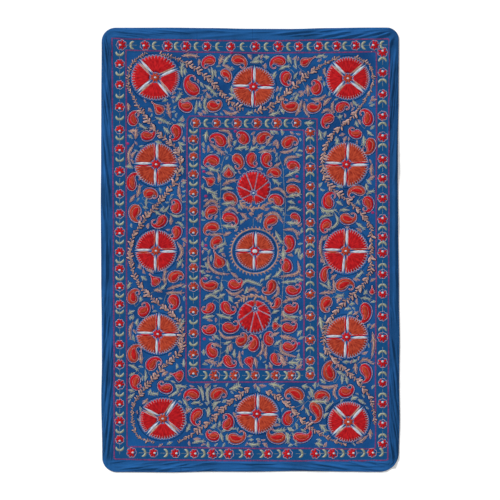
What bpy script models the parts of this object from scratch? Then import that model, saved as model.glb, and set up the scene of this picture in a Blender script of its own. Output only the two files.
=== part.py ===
"""The ground cloth of a suzani embroidered textile, laid flat on a surface with its face up.

Metres, +Z up, +X to the right of the face, +Y to its top end, and the origin at the middle of the
underside. The cloth is one thin sheet with four rounded corners. Its turned edge is a little thicker
than the field, and its plain margin rises in soft folds where the cloth pulls towards the corners.
The fine weave, the small creases and all the needlework belong to the surface, so they are not here.
"""

import math
from typing import NamedTuple

import bmesh
import bpy

# Driving sizes of the cloth, in metres.
WIDTH = 1.410
LENGTH = 2.098
CLOTH_THICKNESS = 0.0020

# The turned edge: its thickness, how far in it ends, and where the cloth is thin again.
HEM_THICKNESS = 0.0026
HEM_DEPTH = 0.014
HEM_END = 0.021

# The rounding of the rim is this deep.
RIM_DEPTH = 0.0016

# The needlework keeps the cloth flat further in than this, and the folds fade out on the way there.
FLAT_FIELD_INSET = 0.064
FOLD_FADE_START = 0.042

# Radii of the corners. The cloth was cut by hand, so each one is different.
CORNER_RADIUS_TOP_LEFT = 0.066
CORNER_RADIUS_TOP_RIGHT = 0.057
CORNER_RADIUS_BOTTOM_LEFT = 0.068
CORNER_RADIUS_BOTTOM_RIGHT = 0.092
FIELD_CORNER_RADIUS = 0.010

# How finely the sheet is divided: steps round a corner and along each side.
CORNER_STEPS = 8
SHORT_SIDE_STEPS = 36
LONG_SIDE_STEPS = 54

# Distances from the rim of the rows of points that run all the way round.
RING_INSETS = (0.0, 0.0005, RIM_DEPTH, 0.006, HEM_DEPTH, HEM_END, 0.028, 0.035, 0.042, 0.049, 0.056)

MM = 0.001
GROUND_BLUE = (0.014, 0.084, 0.283, 1.0)
GROUND_ROUGHNESS = 0.9


class Corner(NamedTuple):
    """A rounded corner: which way it lies from the middle, and its radius."""

    side_x: int
    side_y: int
    radius: float


class Dip(NamedTuple):
    """A place along a side where the edge lies further in than a straight edge, in millimetres."""

    along: float
    inset: float


class Fold(NamedTuple):
    """A soft ridge in the margin, in millimetres, from one end to the other.

    The bow moves its middle to the left of its direction, and the half width is where it ends.
    """

    name: str
    x0: float
    y0: float
    x1: float
    y1: float
    bow: float
    half_width: float
    height: float


# The corners anticlockwise from the lower right one.
CORNERS = (
    Corner(1, -1, CORNER_RADIUS_BOTTOM_RIGHT),
    Corner(1, 1, CORNER_RADIUS_TOP_RIGHT),
    Corner(-1, 1, CORNER_RADIUS_TOP_LEFT),
    Corner(-1, -1, CORNER_RADIUS_BOTTOM_LEFT),
)

# The uneven sides. The left and right ones run from bottom to top, the others from left to right.
LEFT_DIPS = (
    Dip(-960, 7), Dip(-708, 2.4), Dip(-519, 5.2), Dip(-330, 4.2), Dip(-142, 1.9),
    Dip(236, 0), Dip(424, 1.4), Dip(707, 2.4), Dip(960, 4.2),
)
RIGHT_DIPS = (
    Dip(-960, 4), Dip(-802, 0), Dip(-614, 2.4), Dip(-425, 0.5), Dip(-236, 3.3),
    Dip(141, 7.1), Dip(330, 8.5), Dip(519, 8.5), Dip(707, 5.2), Dip(960, 4.2),
)
TOP_DIPS = (Dip(-570, 1), Dip(-380, 0.5), Dip(-190, 2.4), Dip(0, 5.7), Dip(190, 6.6), Dip(380, 2.4), Dip(560, 0))
BOTTOM_DIPS = (Dip(-570, 1.4), Dip(-380, 0), Dip(-190, 3.8), Dip(0, 3.3), Dip(235, 6.4), Dip(470, 3.8), Dip(570, 2.4))

# The folds of the margin, clockwise from the top left corner.
FOLDS = (
    Fold("top_left_upper", -629, 1035, -463, 1014, 0, 10, 4.0),
    Fold("top_left_lower", -652, 1009, -515, 993, 0, 8, 3.0),
    Fold("top_left_long", -473, 1028, -166, 1030, 0, 11, 2.5),
    Fold("top_middle_low", -246, 1000, -1, 1021, 0, 11, 2.5),
    Fold("top_right_first", 84, 1016, 320, 1038, 0, 11, 3.5),
    Fold("top_right_second", 301, 997, 480, 1035, 0, 10, 4.5),
    Fold("top_right_third", 404, 997, 555, 1030, 0, 9, 4.0),
    Fold("top_right_fourth", 489, 997, 631, 1033, 0, 9, 4.0),
    Fold("top_right_fifth", 584, 997, 664, 1028, 0, 8, 4.5),
    Fold("top_right_corner", 645, 957, 683, 1014, 0, 8, 4.0),
    Fold("right_top_outer", 690, 967, 664, 707, 0, 11, 4.0),
    Fold("right_top_inner", 652, 717, 650, 401, 0, 9, 2.5),
    Fold("right_long_bow", 690, 622, 688, -359, -7, 15, 5.5),
    Fold("right_low_first", 659, -401, 697, -642, 0, 10, 4.0),
    Fold("right_low_second", 659, -566, 695, -807, 0, 10, 4.5),
    Fold("right_low_third", 657, -746, 690, -948, 0, 9, 4.5),
    Fold("right_low_corner", 652, -896, 676, -996, 0, 8, 4.0),
    Fold("bottom_right_corner", 621, -986, 671, -1005, 0, 7, 3.5),
    Fold("bottom_right_first", 546, -988, 640, -1024, 0, 8, 4.5),
    Fold("bottom_right_second", 452, -991, 574, -1029, 0, 9, 4.5),
    Fold("bottom_right_third", 263, -996, 480, -1033, 0, 10, 4.5),
    Fold("bottom_right_long", 8, -1017, 367, -1038, 0, 11, 3.5),
    Fold("bottom_middle_upper", -303, -1003, 121, -1005, 0, 8, 2.0),
    Fold("bottom_left_lower", -652, -1019, -294, -1036, 0, 10, 3.0),
    Fold("left_low_corner", -659, -779, -676, -986, 0, 8, 4.0),
    Fold("left_low_second", -662, -628, -685, -896, 0, 9, 4.5),
    Fold("left_low_third", -666, -439, -690, -717, 0, 10, 4.0),
    Fold("left_low_rim", -690, -293, -695, -529, 0, 9, 3.5),
    Fold("left_middle_lens", -695, 212, -692, -274, 14, 15, 4.5),
    Fold("left_upper_third", -685, 410, -662, 198, 0, 10, 3.5),
    Fold("left_upper_second", -690, 604, -664, 405, 0, 10, 4.0),
    Fold("left_upper_first", -690, 788, -664, 604, 0, 10, 4.0),
    Fold("left_upper_corner", -688, 971, -666, 745, 0, 10, 4.5),
)


def ease(share):
    """Runs smoothly from 0 to 1, flat at both ends."""
    share = min(max(share, 0.0), 1.0)
    return share * share * (3.0 - 2.0 * share)


def inset_at(dips, along):
    """How far in, in metres, an uneven side lies at a place along it, in metres."""
    along = along / MM
    if along <= dips[0].along:
        return dips[0].inset * MM
    for low, high in zip(dips, dips[1:]):
        if along <= high.along:
            share = ease((along - low.along) / (high.along - low.along))
            return (low.inset + (high.inset - low.inset) * share) * MM
    return dips[-1].inset * MM


def uneven(x, y):
    """Moves a point of the straight-sided outline inwards with the uneven side that is nearest to it."""
    side_inset = inset_at(RIGHT_DIPS if x > 0 else LEFT_DIPS, y)
    end_inset = inset_at(TOP_DIPS if y > 0 else BOTTOM_DIPS, x)
    return x * (1.0 - side_inset / (WIDTH / 2)), y * (1.0 - end_inset / (LENGTH / 2))


def ring(inset):
    """The outline moved in by a distance, as points anticlockwise from the lower end of the right side.

    The corners tighten on the way in, so that the flat field has almost square ones.
    """
    depth = min(inset / FLAT_FIELD_INSET, 1.0)
    half_width, half_length = WIDTH / 2 - inset, LENGTH / 2 - inset
    points = []
    for index, corner in enumerate(CORNERS):
        radius = corner.radius + (FIELD_CORNER_RADIUS - corner.radius) * depth
        centre_x = corner.side_x * (half_width - radius)
        centre_y = corner.side_y * (half_length - radius)
        start = (index - 1) * math.pi / 2
        for step in range(CORNER_STEPS + 1):
            angle = start + step / CORNER_STEPS * math.pi / 2
            points.append((centre_x + radius * math.cos(angle), centre_y + radius * math.sin(angle)))
        following = CORNERS[(index + 1) % len(CORNERS)]
        next_radius = following.radius + (FIELD_CORNER_RADIUS - following.radius) * depth
        next_angle = start + math.pi / 2
        next_x = following.side_x * (half_width - next_radius) + next_radius * math.cos(next_angle)
        next_y = following.side_y * (half_length - next_radius) + next_radius * math.sin(next_angle)
        last_x, last_y = points[-1]
        steps = SHORT_SIDE_STEPS if index % 2 else LONG_SIDE_STEPS
        for step in range(1, steps):
            share = step / steps
            points.append((last_x + (next_x - last_x) * share, last_y + (next_y - last_y) * share))
    return points


def fold_height(fold, x, y):
    """Height of one fold at a point, in metres."""
    run_x, run_y = (fold.x1 - fold.x0) * MM, (fold.y1 - fold.y0) * MM
    length = math.hypot(run_x, run_y)
    from_x, from_y = x - fold.x0 * MM, y - fold.y0 * MM
    share = (from_x * run_x + from_y * run_y) / length**2
    if not 0.0 < share < 1.0:
        return 0.0
    sideways = (run_x * from_y - run_y * from_x) / length - fold.bow * MM * 4.0 * share * (1.0 - share)
    across = abs(sideways) / (fold.half_width * MM)
    if across >= 1.0:
        return 0.0
    ends = 1.0 - (2.0 * share - 1.0) ** 4
    return fold.height * MM * ends * math.cos(across * math.pi / 2) ** 2


def lift(x, y, inset):
    """How far the cloth stands off the surface at a point this far in from the rim."""
    fade = 1.0 - ease((inset - FOLD_FADE_START) / (FLAT_FIELD_INSET - FOLD_FADE_START))
    return fade * max(fold_height(fold, x, y) for fold in FOLDS)


def thickness(inset):
    """Thickness of the cloth this far in from the rim: the turned edge is thicker than the field."""
    share = ease((inset - HEM_DEPTH) / (HEM_END - HEM_DEPTH))
    return HEM_THICKNESS + (CLOTH_THICKNESS - HEM_THICKNESS) * share


def add_ring(mesh, inset):
    """Adds one row of points all the way round. Returns its upper and its lower points.

    At the rim itself they are the same points, halfway up the rounded edge.
    """
    upper, lower = [], []
    for straight_x, straight_y in ring(inset):
        x, y = uneven(straight_x, straight_y)
        base = lift(x, y, inset)
        thick = thickness(inset)
        if inset == 0.0:
            upper.append(mesh.verts.new((x, y, base + thick / 2)))
            continue
        rim_share = 1.0 - min(inset / RIM_DEPTH, 1.0)
        round_in = thick / 2 * (1.0 - math.sqrt(1.0 - rim_share**2))
        upper.append(mesh.verts.new((x, y, base + thick - round_in)))
        lower.append(mesh.verts.new((x, y, base + round_in)))
    return upper, lower or upper


def join_rings(mesh, outer, inner, facing_up):
    """Fills the strip between two rows of points with quads that face up or down."""
    for index in range(len(outer)):
        after = (index + 1) % len(outer)
        corners = [outer[index], outer[after], inner[after], inner[index]]
        mesh.faces.new(corners if facing_up else corners[::-1])


def fill_field(mesh, border, z, facing_up):
    """Fills the flat field inside the last row with a grid whose lines run from side to side.

    The grid is held in from the row by the field's corner radius, and each corner closes as a fan.
    """
    columns, rows = SHORT_SIDE_STEPS, LONG_SIDE_STEPS
    half_width = WIDTH / 2 - FLAT_FIELD_INSET - FIELD_CORNER_RADIUS
    half_length = LENGTH / 2 - FLAT_FIELD_INSET - FIELD_CORNER_RADIUS
    grid = [
        [
            mesh.verts.new(
                (*uneven(half_width * (2 * column / columns - 1), half_length * (2 * row / rows - 1)), z)
            )
            for column in range(columns + 1)
        ]
        for row in range(rows + 1)
    ]
    for row in range(rows):
        for column in range(columns):
            corners = [
                grid[row][column], grid[row][column + 1], grid[row + 1][column + 1], grid[row + 1][column],
            ]
            mesh.faces.new(corners if facing_up else corners[::-1])
    right = [grid[row][columns] for row in range(rows + 1)]
    top = [grid[rows][columns - column] for column in range(columns + 1)]
    left = [grid[rows - row][0] for row in range(rows + 1)]
    bottom = [grid[0][column] for column in range(columns + 1)]
    inner = []
    for side in (right, top, left, bottom):
        inner += [side[0]] * CORNER_STEPS + side[:-1]
    for index in range(len(border)):
        after = (index + 1) % len(border)
        corners = [border[index], border[after], inner[after], inner[index]]
        if inner[after] is inner[index]:
            corners.pop()
        mesh.faces.new(corners if facing_up else corners[::-1])


def cloth_material():
    """The plain blue cotton of the ground."""
    material = bpy.data.materials.new("ground_blue")
    material.use_nodes = True
    shader = material.node_tree.nodes["Principled BSDF"]
    shader.inputs["Base Color"].default_value = GROUND_BLUE
    shader.inputs["Roughness"].default_value = GROUND_ROUGHNESS
    shader.inputs["Metallic"].default_value = 0.0
    return material


def build_ground_cloth():
    """Builds the cloth as one closed thin sheet."""
    mesh = bmesh.new()
    last_upper, last_lower = add_ring(mesh, RING_INSETS[0])
    for inset in (*RING_INSETS[1:], FLAT_FIELD_INSET):
        upper, lower = add_ring(mesh, inset)
        join_rings(mesh, last_upper, upper, facing_up=True)
        join_rings(mesh, last_lower, lower, facing_up=False)
        last_upper, last_lower = upper, lower
    fill_field(mesh, last_upper, CLOTH_THICKNESS, facing_up=True)
    fill_field(mesh, last_lower, 0.0, facing_up=False)
    data = bpy.data.meshes.new("ground_cloth")
    mesh.to_mesh(data)
    mesh.free()
    data.materials.append(cloth_material())
    data.shade_smooth()
    cloth = bpy.data.objects.new("ground_cloth", data)
    bpy.context.scene.collection.objects.link(cloth)
    return cloth


def main():
    """Clears the scene and builds the part."""
    for leftover in list(bpy.data.objects):
        bpy.data.objects.remove(leftover, do_unlink=True)
    build_ground_cloth()


main()
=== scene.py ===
"""A suzani embroidered textile laid flat, dressed with its weave, its folds and all its needlework.

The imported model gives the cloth's size. Everything here is in metres, +Z up, +X to the right of the
face and +Y to its top end. Places on the embroidery's chart are photograph pixels, counted from the
top left corner of the photograph, and place() turns them into metres. Sizes in the tables are
millimetres of thread and cloth.
"""

import logging
import math
from dataclasses import dataclass, field
from enum import Enum
from typing import NamedTuple

import bpy
import numpy as np
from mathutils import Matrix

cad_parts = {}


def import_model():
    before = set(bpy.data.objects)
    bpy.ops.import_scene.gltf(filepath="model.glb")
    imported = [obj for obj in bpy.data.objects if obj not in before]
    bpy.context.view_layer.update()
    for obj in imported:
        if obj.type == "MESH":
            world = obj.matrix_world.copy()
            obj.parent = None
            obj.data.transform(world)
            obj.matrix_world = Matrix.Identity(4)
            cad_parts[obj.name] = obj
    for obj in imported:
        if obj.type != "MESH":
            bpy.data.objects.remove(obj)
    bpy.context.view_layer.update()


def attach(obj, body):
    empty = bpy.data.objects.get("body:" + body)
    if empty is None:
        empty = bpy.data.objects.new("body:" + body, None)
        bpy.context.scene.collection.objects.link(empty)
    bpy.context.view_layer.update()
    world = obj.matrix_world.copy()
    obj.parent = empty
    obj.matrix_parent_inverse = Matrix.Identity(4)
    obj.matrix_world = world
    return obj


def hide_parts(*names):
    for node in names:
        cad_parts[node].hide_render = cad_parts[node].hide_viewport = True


LOG = logging.getLogger("suzani")

MM = 0.001
CLOTH_NODE = "ground_cloth"

# The chart: the size of one of its steps, which is a pixel of the photograph, and the cloth's middle.
CHART_STEP = 0.004717
CHART_MIDDLE_X = 250.25
CHART_MIDDLE_Y = 249.95
PHOTO_PIXELS = 500

# Leaflets swell and shrink along a vine, by this much of a turn, in radians, from one to the next.
TUFT_TURN = 0.9

# Needlework dips this far into the cloth along its edges, so that no gap shows under it.
SINK = 0.0006

# How far apart the rows of couched thread lie, in metres.
ROW_PITCH = 0.0021

# Cloth and thread hardly mirror, so their colours stay full at low views.
MIRRORING = 0.02

# Leaves are worked this much wider than on the chart.
LEAF_WIDEN = 1.2

# A length in metres that counts as nothing.
TINY = 1e-9


def place(chart_x: float, chart_y: float) -> np.ndarray:
    """Gives the place on the cloth, in metres, of a place on the chart.

    Args:
        chart_x: Pixels from the left of the photograph.
        chart_y: Pixels from the top of the photograph.

    Returns:
        The x and y of the place.
    """
    return np.array([(chart_x - CHART_MIDDLE_X) * CHART_STEP, (CHART_MIDDLE_Y - chart_y) * CHART_STEP])


def places(chart: tuple[tuple[float, float], ...]) -> np.ndarray:
    """Gives the places on the cloth of a row of places on the chart."""
    return np.array([place(x, y) for x, y in chart])


def ease(share: np.ndarray) -> np.ndarray:
    """Runs smoothly from 0 to 1, flat at both ends."""
    share = np.clip(share, 0.0, 1.0)
    return share * share * (3.0 - 2.0 * share)


def bulge(share: np.ndarray, fullness: float, skew: float = 1.0) -> np.ndarray:
    """Swells from 0 to 1 and back as the share runs from 0 to 1.

    Args:
        share: Where along the shape each place lies.
        fullness: Below 1 the shape is blunt, above 1 it is slim at its ends.
        skew: Below 1 it is widest in its first half.

    Returns:
        The width of the shape at each place.
    """
    return np.maximum(np.sin(np.pi * np.clip(share, 0.0, 1.0) ** skew), 0.0) ** fullness


def along_path(path: np.ndarray, spacing: float, closed: bool = False) -> np.ndarray:
    """Places points evenly along a path.

    Args:
        path: The corners of the path, one row each.
        spacing: About how far apart the points are, in metres.
        closed: Whether the path runs back to its start.

    Returns:
        The points, one row each. A closed path doesn't repeat its first point.
    """
    if closed:
        path = np.vstack([path, path[:1]])
    steps = np.hypot(*np.diff(path, axis=0).T)
    run = np.concatenate([[0.0], np.cumsum(steps)])
    count = max(int(round(run[-1] / spacing)), 2)
    stations = np.linspace(0.0, run[-1], count + 1)
    points = np.column_stack([np.interp(stations, run, path[:, axis]) for axis in (0, 1)])
    return points[:-1] if closed else points


def leftward(path: np.ndarray) -> np.ndarray:
    """Gives the direction to the left of a path at each of its places, one unit long."""
    along = np.gradient(path, axis=0)
    along /= np.maximum(np.hypot(*along.T), TINY)[:, None]
    return np.column_stack([-along[:, 1], along[:, 0]])


def beside(path: np.ndarray, aside: np.ndarray | float) -> np.ndarray:
    """Moves a path to its left by a distance in metres, or to its right by a negative one."""
    return path + leftward(path) * np.reshape(aside, (-1, 1))


def smooth_path(path: np.ndarray, rounds: int = 2) -> np.ndarray:
    """Cuts the corners of an open path, so that it runs as a soft curve.

    Args:
        path: The corners of the path, one row each.
        rounds: How many times each corner is cut.

    Returns:
        The softer path, with the same two ends.
    """
    for _ in range(rounds):
        near = 0.75 * path[:-1] + 0.25 * path[1:]
        far = 0.25 * path[:-1] + 0.75 * path[1:]
        cut = np.empty((2 * len(near), 2))
        cut[0::2] = near
        cut[1::2] = far
        path = np.vstack([path[:1], cut, path[-1:]])
    return path


def link(name: str, data: bpy.types.ID) -> bpy.types.Object:
    """Makes an object of a mesh, a lamp or a camera, puts it in the scene and returns it."""
    piece = bpy.data.objects.new(name, data)
    bpy.context.scene.collection.objects.link(piece)
    return piece


def hand_over(piece: bpy.types.Object) -> None:
    """Gives a finished piece its body, and reports it."""
    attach(piece, "root")
    triangles = sum(len(face.vertices) - 2 for face in piece.data.polygons)
    LOG.info("%s: %d triangles", piece.name, triangles)


class Dip(NamedTuple):
    """A place along a side where the edge lies further in than a straight edge, in millimetres."""

    along: float
    inset: float


class Fold(NamedTuple):
    """A soft ridge in the margin, in millimetres, from one end to the other.

    The bow moves its middle to the left of its direction, and the half width is where it ends.
    """

    x0: float
    y0: float
    x1: float
    y1: float
    bow: float
    half_width: float
    height: float


class Corner(NamedTuple):
    """A rounded corner: which way it lies from the middle, and its radius in metres."""

    side_x: int
    side_y: int
    radius: float


# The corners anticlockwise from the lower right one.
CORNERS = (
    Corner(1, -1, 0.092),
    Corner(1, 1, 0.057),
    Corner(-1, 1, 0.066),
    Corner(-1, -1, 0.068),
)

# The uneven sides. The left and right ones run from bottom to top, the others from left to right.
LEFT_DIPS = (
    Dip(-960, 7), Dip(-708, 2.4), Dip(-519, 5.2), Dip(-330, 4.2), Dip(-142, 1.9),
    Dip(236, 0), Dip(424, 1.4), Dip(707, 2.4), Dip(960, 4.2),
)
RIGHT_DIPS = (
    Dip(-960, 4), Dip(-802, 0), Dip(-614, 2.4), Dip(-425, 0.5), Dip(-236, 3.3),
    Dip(141, 7.1), Dip(330, 8.5), Dip(519, 8.5), Dip(707, 5.2), Dip(960, 4.2),
)
TOP_DIPS = (
    Dip(-570, 1), Dip(-380, 0.5), Dip(-190, 2.4), Dip(0, 5.7), Dip(190, 6.6), Dip(380, 2.4), Dip(560, 0),
)
BOTTOM_DIPS = (
    Dip(-570, 1.4), Dip(-380, 0), Dip(-190, 3.8), Dip(0, 3.3), Dip(235, 6.4), Dip(470, 3.8), Dip(570, 2.4),
)

# The folds of the margin, clockwise from the top left corner. They are the ones of the solid.
FOLDS = (
    Fold(-629, 1035, -463, 1014, 0, 10, 4.0), Fold(-652, 1009, -515, 993, 0, 8, 3.0),
    Fold(-473, 1028, -166, 1030, 0, 11, 2.5), Fold(-246, 1000, -1, 1021, 0, 11, 2.5),
    Fold(84, 1016, 320, 1038, 0, 11, 3.5), Fold(301, 997, 480, 1035, 0, 10, 4.5),
    Fold(404, 997, 555, 1030, 0, 9, 4.0), Fold(489, 997, 631, 1033, 0, 9, 4.0),
    Fold(584, 997, 664, 1028, 0, 8, 4.5), Fold(645, 957, 683, 1014, 0, 8, 4.0),
    Fold(690, 967, 664, 707, 0, 11, 4.0), Fold(652, 717, 650, 401, 0, 9, 2.5),
    Fold(690, 622, 688, -359, -7, 15, 5.5), Fold(659, -401, 697, -642, 0, 10, 4.0),
    Fold(659, -566, 695, -807, 0, 10, 4.5), Fold(657, -746, 690, -948, 0, 9, 4.5),
    Fold(652, -896, 676, -996, 0, 8, 4.0), Fold(621, -986, 671, -1005, 0, 7, 3.5),
    Fold(546, -988, 640, -1024, 0, 8, 4.5), Fold(452, -991, 574, -1029, 0, 9, 4.5),
    Fold(263, -996, 480, -1033, 0, 10, 4.5), Fold(8, -1017, 367, -1038, 0, 11, 3.5),
    Fold(-303, -1003, 121, -1005, 0, 8, 2.0), Fold(-652, -1019, -294, -1036, 0, 10, 3.0),
    Fold(-659, -779, -676, -986, 0, 8, 4.0), Fold(-662, -628, -685, -896, 0, 9, 4.5),
    Fold(-666, -439, -690, -717, 0, 10, 4.0), Fold(-690, -293, -695, -529, 0, 9, 3.5),
    Fold(-695, 212, -692, -274, 14, 15, 4.5), Fold(-685, 410, -662, 198, 0, 10, 3.5),
    Fold(-690, 604, -664, 405, 0, 10, 4.0), Fold(-690, 788, -664, 604, 0, 10, 4.0),
    Fold(-688, 971, -666, 745, 0, 10, 4.5),
)


@dataclass
class ClothShape:
    """The form of the cloth: its outline, its thickness, and how high its face stands at any place."""

    width: float = 1.410
    length: float = 2.098
    thickness: float = 0.0020
    hem_thickness: float = 0.0026
    hem_depth: float = 0.014
    hem_end: float = 0.021
    rim_depth: float = 0.0016
    flat_field_inset: float = 0.064
    fold_fade_start: float = 0.042
    field_corner_radius: float = 0.010
    crease_count: int = 190
    crease_seed: int = 7
    pucker_height: float = 0.0005
    creases: list[Fold] = field(default_factory=list)

    def __post_init__(self) -> None:
        """Draws the small creases that run beside the folds of the margin."""
        chance = np.random.default_rng(self.crease_seed)
        half_width, half_length = self.width / 2 / MM, self.length / 2 / MM
        for _ in range(self.crease_count):
            inset = chance.uniform(6, 50)
            run = chance.uniform(30, 105)
            size = (chance.uniform(3.8, 6.2), chance.uniform(1.5, 4.2))
            side = 1 if chance.random() < 0.5 else -1
            share = 1 - abs(chance.normal(0, 0.42))
            toward = 1 if chance.random() < 0.5 else -1
            lean = abs(chance.normal(2 + 9 * max(share, 0.0), 2))
            if chance.random() < 0.58:
                y = toward * max(share, 0.02) * (half_length - 70)
                x = side * (half_width - inset)
                ends = (x - side * lean, y - toward * run, x + side * lean, y + toward * run)
            else:
                x = toward * max(share, 0.02) * (half_width - 70)
                y = side * (half_length - inset)
                ends = (x - toward * run, y - side * lean, x + toward * run, y + side * lean)
            self.creases.append(Fold(*ends, chance.normal(0, 2), *size))

    @staticmethod
    def inset_at(dips: tuple[Dip, ...], along: np.ndarray) -> np.ndarray:
        """How far in an uneven side lies at places along it, all in metres."""
        stations = np.array([dip.along for dip in dips]) * MM
        insets = np.array([dip.inset for dip in dips]) * MM
        along = np.clip(along, stations[0], stations[-1])
        low = np.clip(np.searchsorted(stations, along) - 1, 0, len(dips) - 2)
        share = ease((along - stations[low]) / (stations[low + 1] - stations[low]))
        return insets[low] + (insets[low + 1] - insets[low]) * share

    def side_shares(self, x: np.ndarray, y: np.ndarray) -> tuple[np.ndarray, np.ndarray]:
        """How much narrower and shorter the uneven outline is than a straight one, as factors of x and y."""
        side = np.where(x > 0, self.inset_at(RIGHT_DIPS, y), self.inset_at(LEFT_DIPS, y))
        end = np.where(y > 0, self.inset_at(TOP_DIPS, x), self.inset_at(BOTTOM_DIPS, x))
        return 1.0 - side / (self.width / 2), 1.0 - end / (self.length / 2)

    def inset(self, x: np.ndarray, y: np.ndarray) -> np.ndarray:
        """How far in from the nearest side places lie, in metres."""
        across, down = self.side_shares(x, y)
        return np.minimum(self.width / 2 - np.abs(x / across), self.length / 2 - np.abs(y / down))

    def ring(self, inset: float, short_steps: int, long_steps: int, corner_steps: int) -> np.ndarray:
        """The uneven outline moved in by a distance.

        Args:
            inset: The distance from the rim, in metres.
            short_steps: Steps along the top and the bottom.
            long_steps: Steps along each long side.
            corner_steps: Steps round each corner.

        Returns:
            Points anticlockwise from the lower end of the right side, one row each.
        """
        depth = min(inset / self.flat_field_inset, 1.0)
        half_width, half_length = self.width / 2 - inset, self.length / 2 - inset
        arcs = []
        for index, corner in enumerate(CORNERS):
            radius = corner.radius + (self.field_corner_radius - corner.radius) * depth
            angles = (index - 1) * math.pi / 2 + np.linspace(0.0, math.pi / 2, corner_steps + 1)
            arcs.append(
                np.column_stack(
                    [
                        corner.side_x * (half_width - radius) + radius * np.cos(angles),
                        corner.side_y * (half_length - radius) + radius * np.sin(angles),
                    ]
                )
            )
        rows = []
        for index, arc in enumerate(arcs):
            following = arcs[(index + 1) % len(arcs)]
            steps = short_steps if index % 2 else long_steps
            shares = (np.arange(1, steps) / steps)[:, None]
            rows += [arc, arc[-1] + (following[0] - arc[-1]) * shares]
        points = np.vstack(rows)
        across, down = self.side_shares(points[:, 0], points[:, 1])
        return points * np.column_stack([across, down])

    @staticmethod
    def ridge(fold: Fold, x: np.ndarray, y: np.ndarray) -> np.ndarray:
        """Height of one fold or crease at places on the cloth, in metres."""
        run_x, run_y = (fold.x1 - fold.x0) * MM, (fold.y1 - fold.y0) * MM
        length = math.hypot(run_x, run_y)
        from_x, from_y = x - fold.x0 * MM, y - fold.y0 * MM
        share = (from_x * run_x + from_y * run_y) / length**2
        held = np.clip(share, 0.0, 1.0)
        sideways = (run_x * from_y - run_y * from_x) / length - fold.bow * MM * 4.0 * held * (1.0 - held)
        across = np.clip(np.abs(sideways) / (fold.half_width * MM), 0.0, 1.0)
        ends = 1.0 - (2.0 * held - 1.0) ** 4
        return fold.height * MM * ends * np.cos(across * math.pi / 2) ** 2

    def base(self, x: np.ndarray, y: np.ndarray) -> np.ndarray:
        """How far the underside stands off the surface at places on the cloth, in metres."""
        x, y = np.asarray(x, float), np.asarray(y, float)
        inset = self.inset(x, y)
        fade = 1.0 - ease((inset - self.fold_fade_start) / (self.flat_field_inset - self.fold_fade_start))
        height = np.zeros(x.shape)
        in_margin = fade > 0.0
        near_x, near_y = x[in_margin], y[in_margin]
        if near_x.size:
            folds = np.max([self.ridge(fold, near_x, near_y) for fold in FOLDS], axis=0)
            small = np.max([self.ridge(fold, near_x, near_y) for fold in self.creases], axis=0)
            height[in_margin] = (folds + small * ease(inset[in_margin] / 0.012)) * fade[in_margin]
        return height + self.pucker(x, y) * ease((inset - 0.02) / 0.05)

    def pucker(self, x: np.ndarray, y: np.ndarray) -> np.ndarray:
        """The slight unevenness that dense needlework gives to the cloth, in metres and never below 0."""
        swell = np.sin(41 * x + 3.1 * np.sin(17 * y)) * np.sin(37 * y + 2.3 * np.sin(19 * x))
        ripple = np.sin(83 * x + 61 * y + 2.0 * np.sin(29 * y)) * 0.4
        return self.pucker_height * np.clip(0.5 + 0.5 * (0.7 * swell + ripple), 0.0, 1.0)

    def thickness_at(self, inset: float) -> float:
        """Thickness of the cloth this far in from the rim: the turned edge is thicker than the field."""
        share = float(ease(np.array((inset - self.hem_depth) / (self.hem_end - self.hem_depth))))
        return self.hem_thickness + (self.thickness - self.hem_thickness) * share

    def face(self, x: np.ndarray, y: np.ndarray) -> np.ndarray:
        """Height of the face of the cloth at embroidered places, in metres."""
        return self.base(x, y) + self.thickness


class NodeWriter:
    """Writes a node tree one node at a time and joins the sockets."""

    def __init__(self, tree: bpy.types.NodeTree) -> None:
        """Keeps the tree that the nodes go into."""
        self.tree = tree

    def add(self, kind: str, inputs: dict | None = None, **settings: object) -> bpy.types.Node:
        """Adds one node.

        Args:
            kind: The node's type name.
            inputs: Values or sockets for its inputs, by name or number.
            **settings: Values for the node's own properties.

        Returns:
            The new node.
        """
        node = self.tree.nodes.new(kind)
        for name, value in settings.items():
            setattr(node, name, value)
        for key, value in (inputs or {}).items():
            if isinstance(value, bpy.types.NodeSocket):
                self.tree.links.new(value, node.inputs[key])
            else:
                node.inputs[key].default_value = value
        return node

    def math(self, operation: str, first: object, second: object = 0.0) -> bpy.types.NodeSocket:
        """Adds one step of arithmetic and returns its result's socket."""
        return self.add("ShaderNodeMath", {0: first, 1: second}, operation=operation).outputs[0]

    def mix(self, share: object, first: object, second: object) -> bpy.types.NodeSocket:
        """Mixes two colours by a share and returns the result's socket."""
        node = self.add("ShaderNodeMix", {0: share, 6: first, 7: second}, data_type="RGBA")
        return node.outputs[2]

    def noise(self, where: object, scale: float, detail: float) -> bpy.types.NodeSocket:
        """Adds noise over places and returns its value's socket."""
        inputs = {"Vector": where, "Scale": scale, "Detail": detail}
        return self.add("ShaderNodeTexNoise", inputs).outputs["Fac"]

    def span(self, value: object, low: float, high: float, from_low: float = 0.0,
             from_high: float = 1.0) -> bpy.types.NodeSocket:
        """Maps a value from one span to another, held at its ends, and returns the result's socket."""
        inputs = {"Value": value, "From Min": from_low, "From Max": from_high, "To Min": low, "To Max": high}
        return self.add("ShaderNodeMapRange", inputs).outputs[0]


Colour = tuple[float, float, float]


def opaque(colour: Colour) -> tuple[float, float, float, float]:
    """Adds a full alpha to a colour."""
    return (*colour, 1.0)


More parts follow.
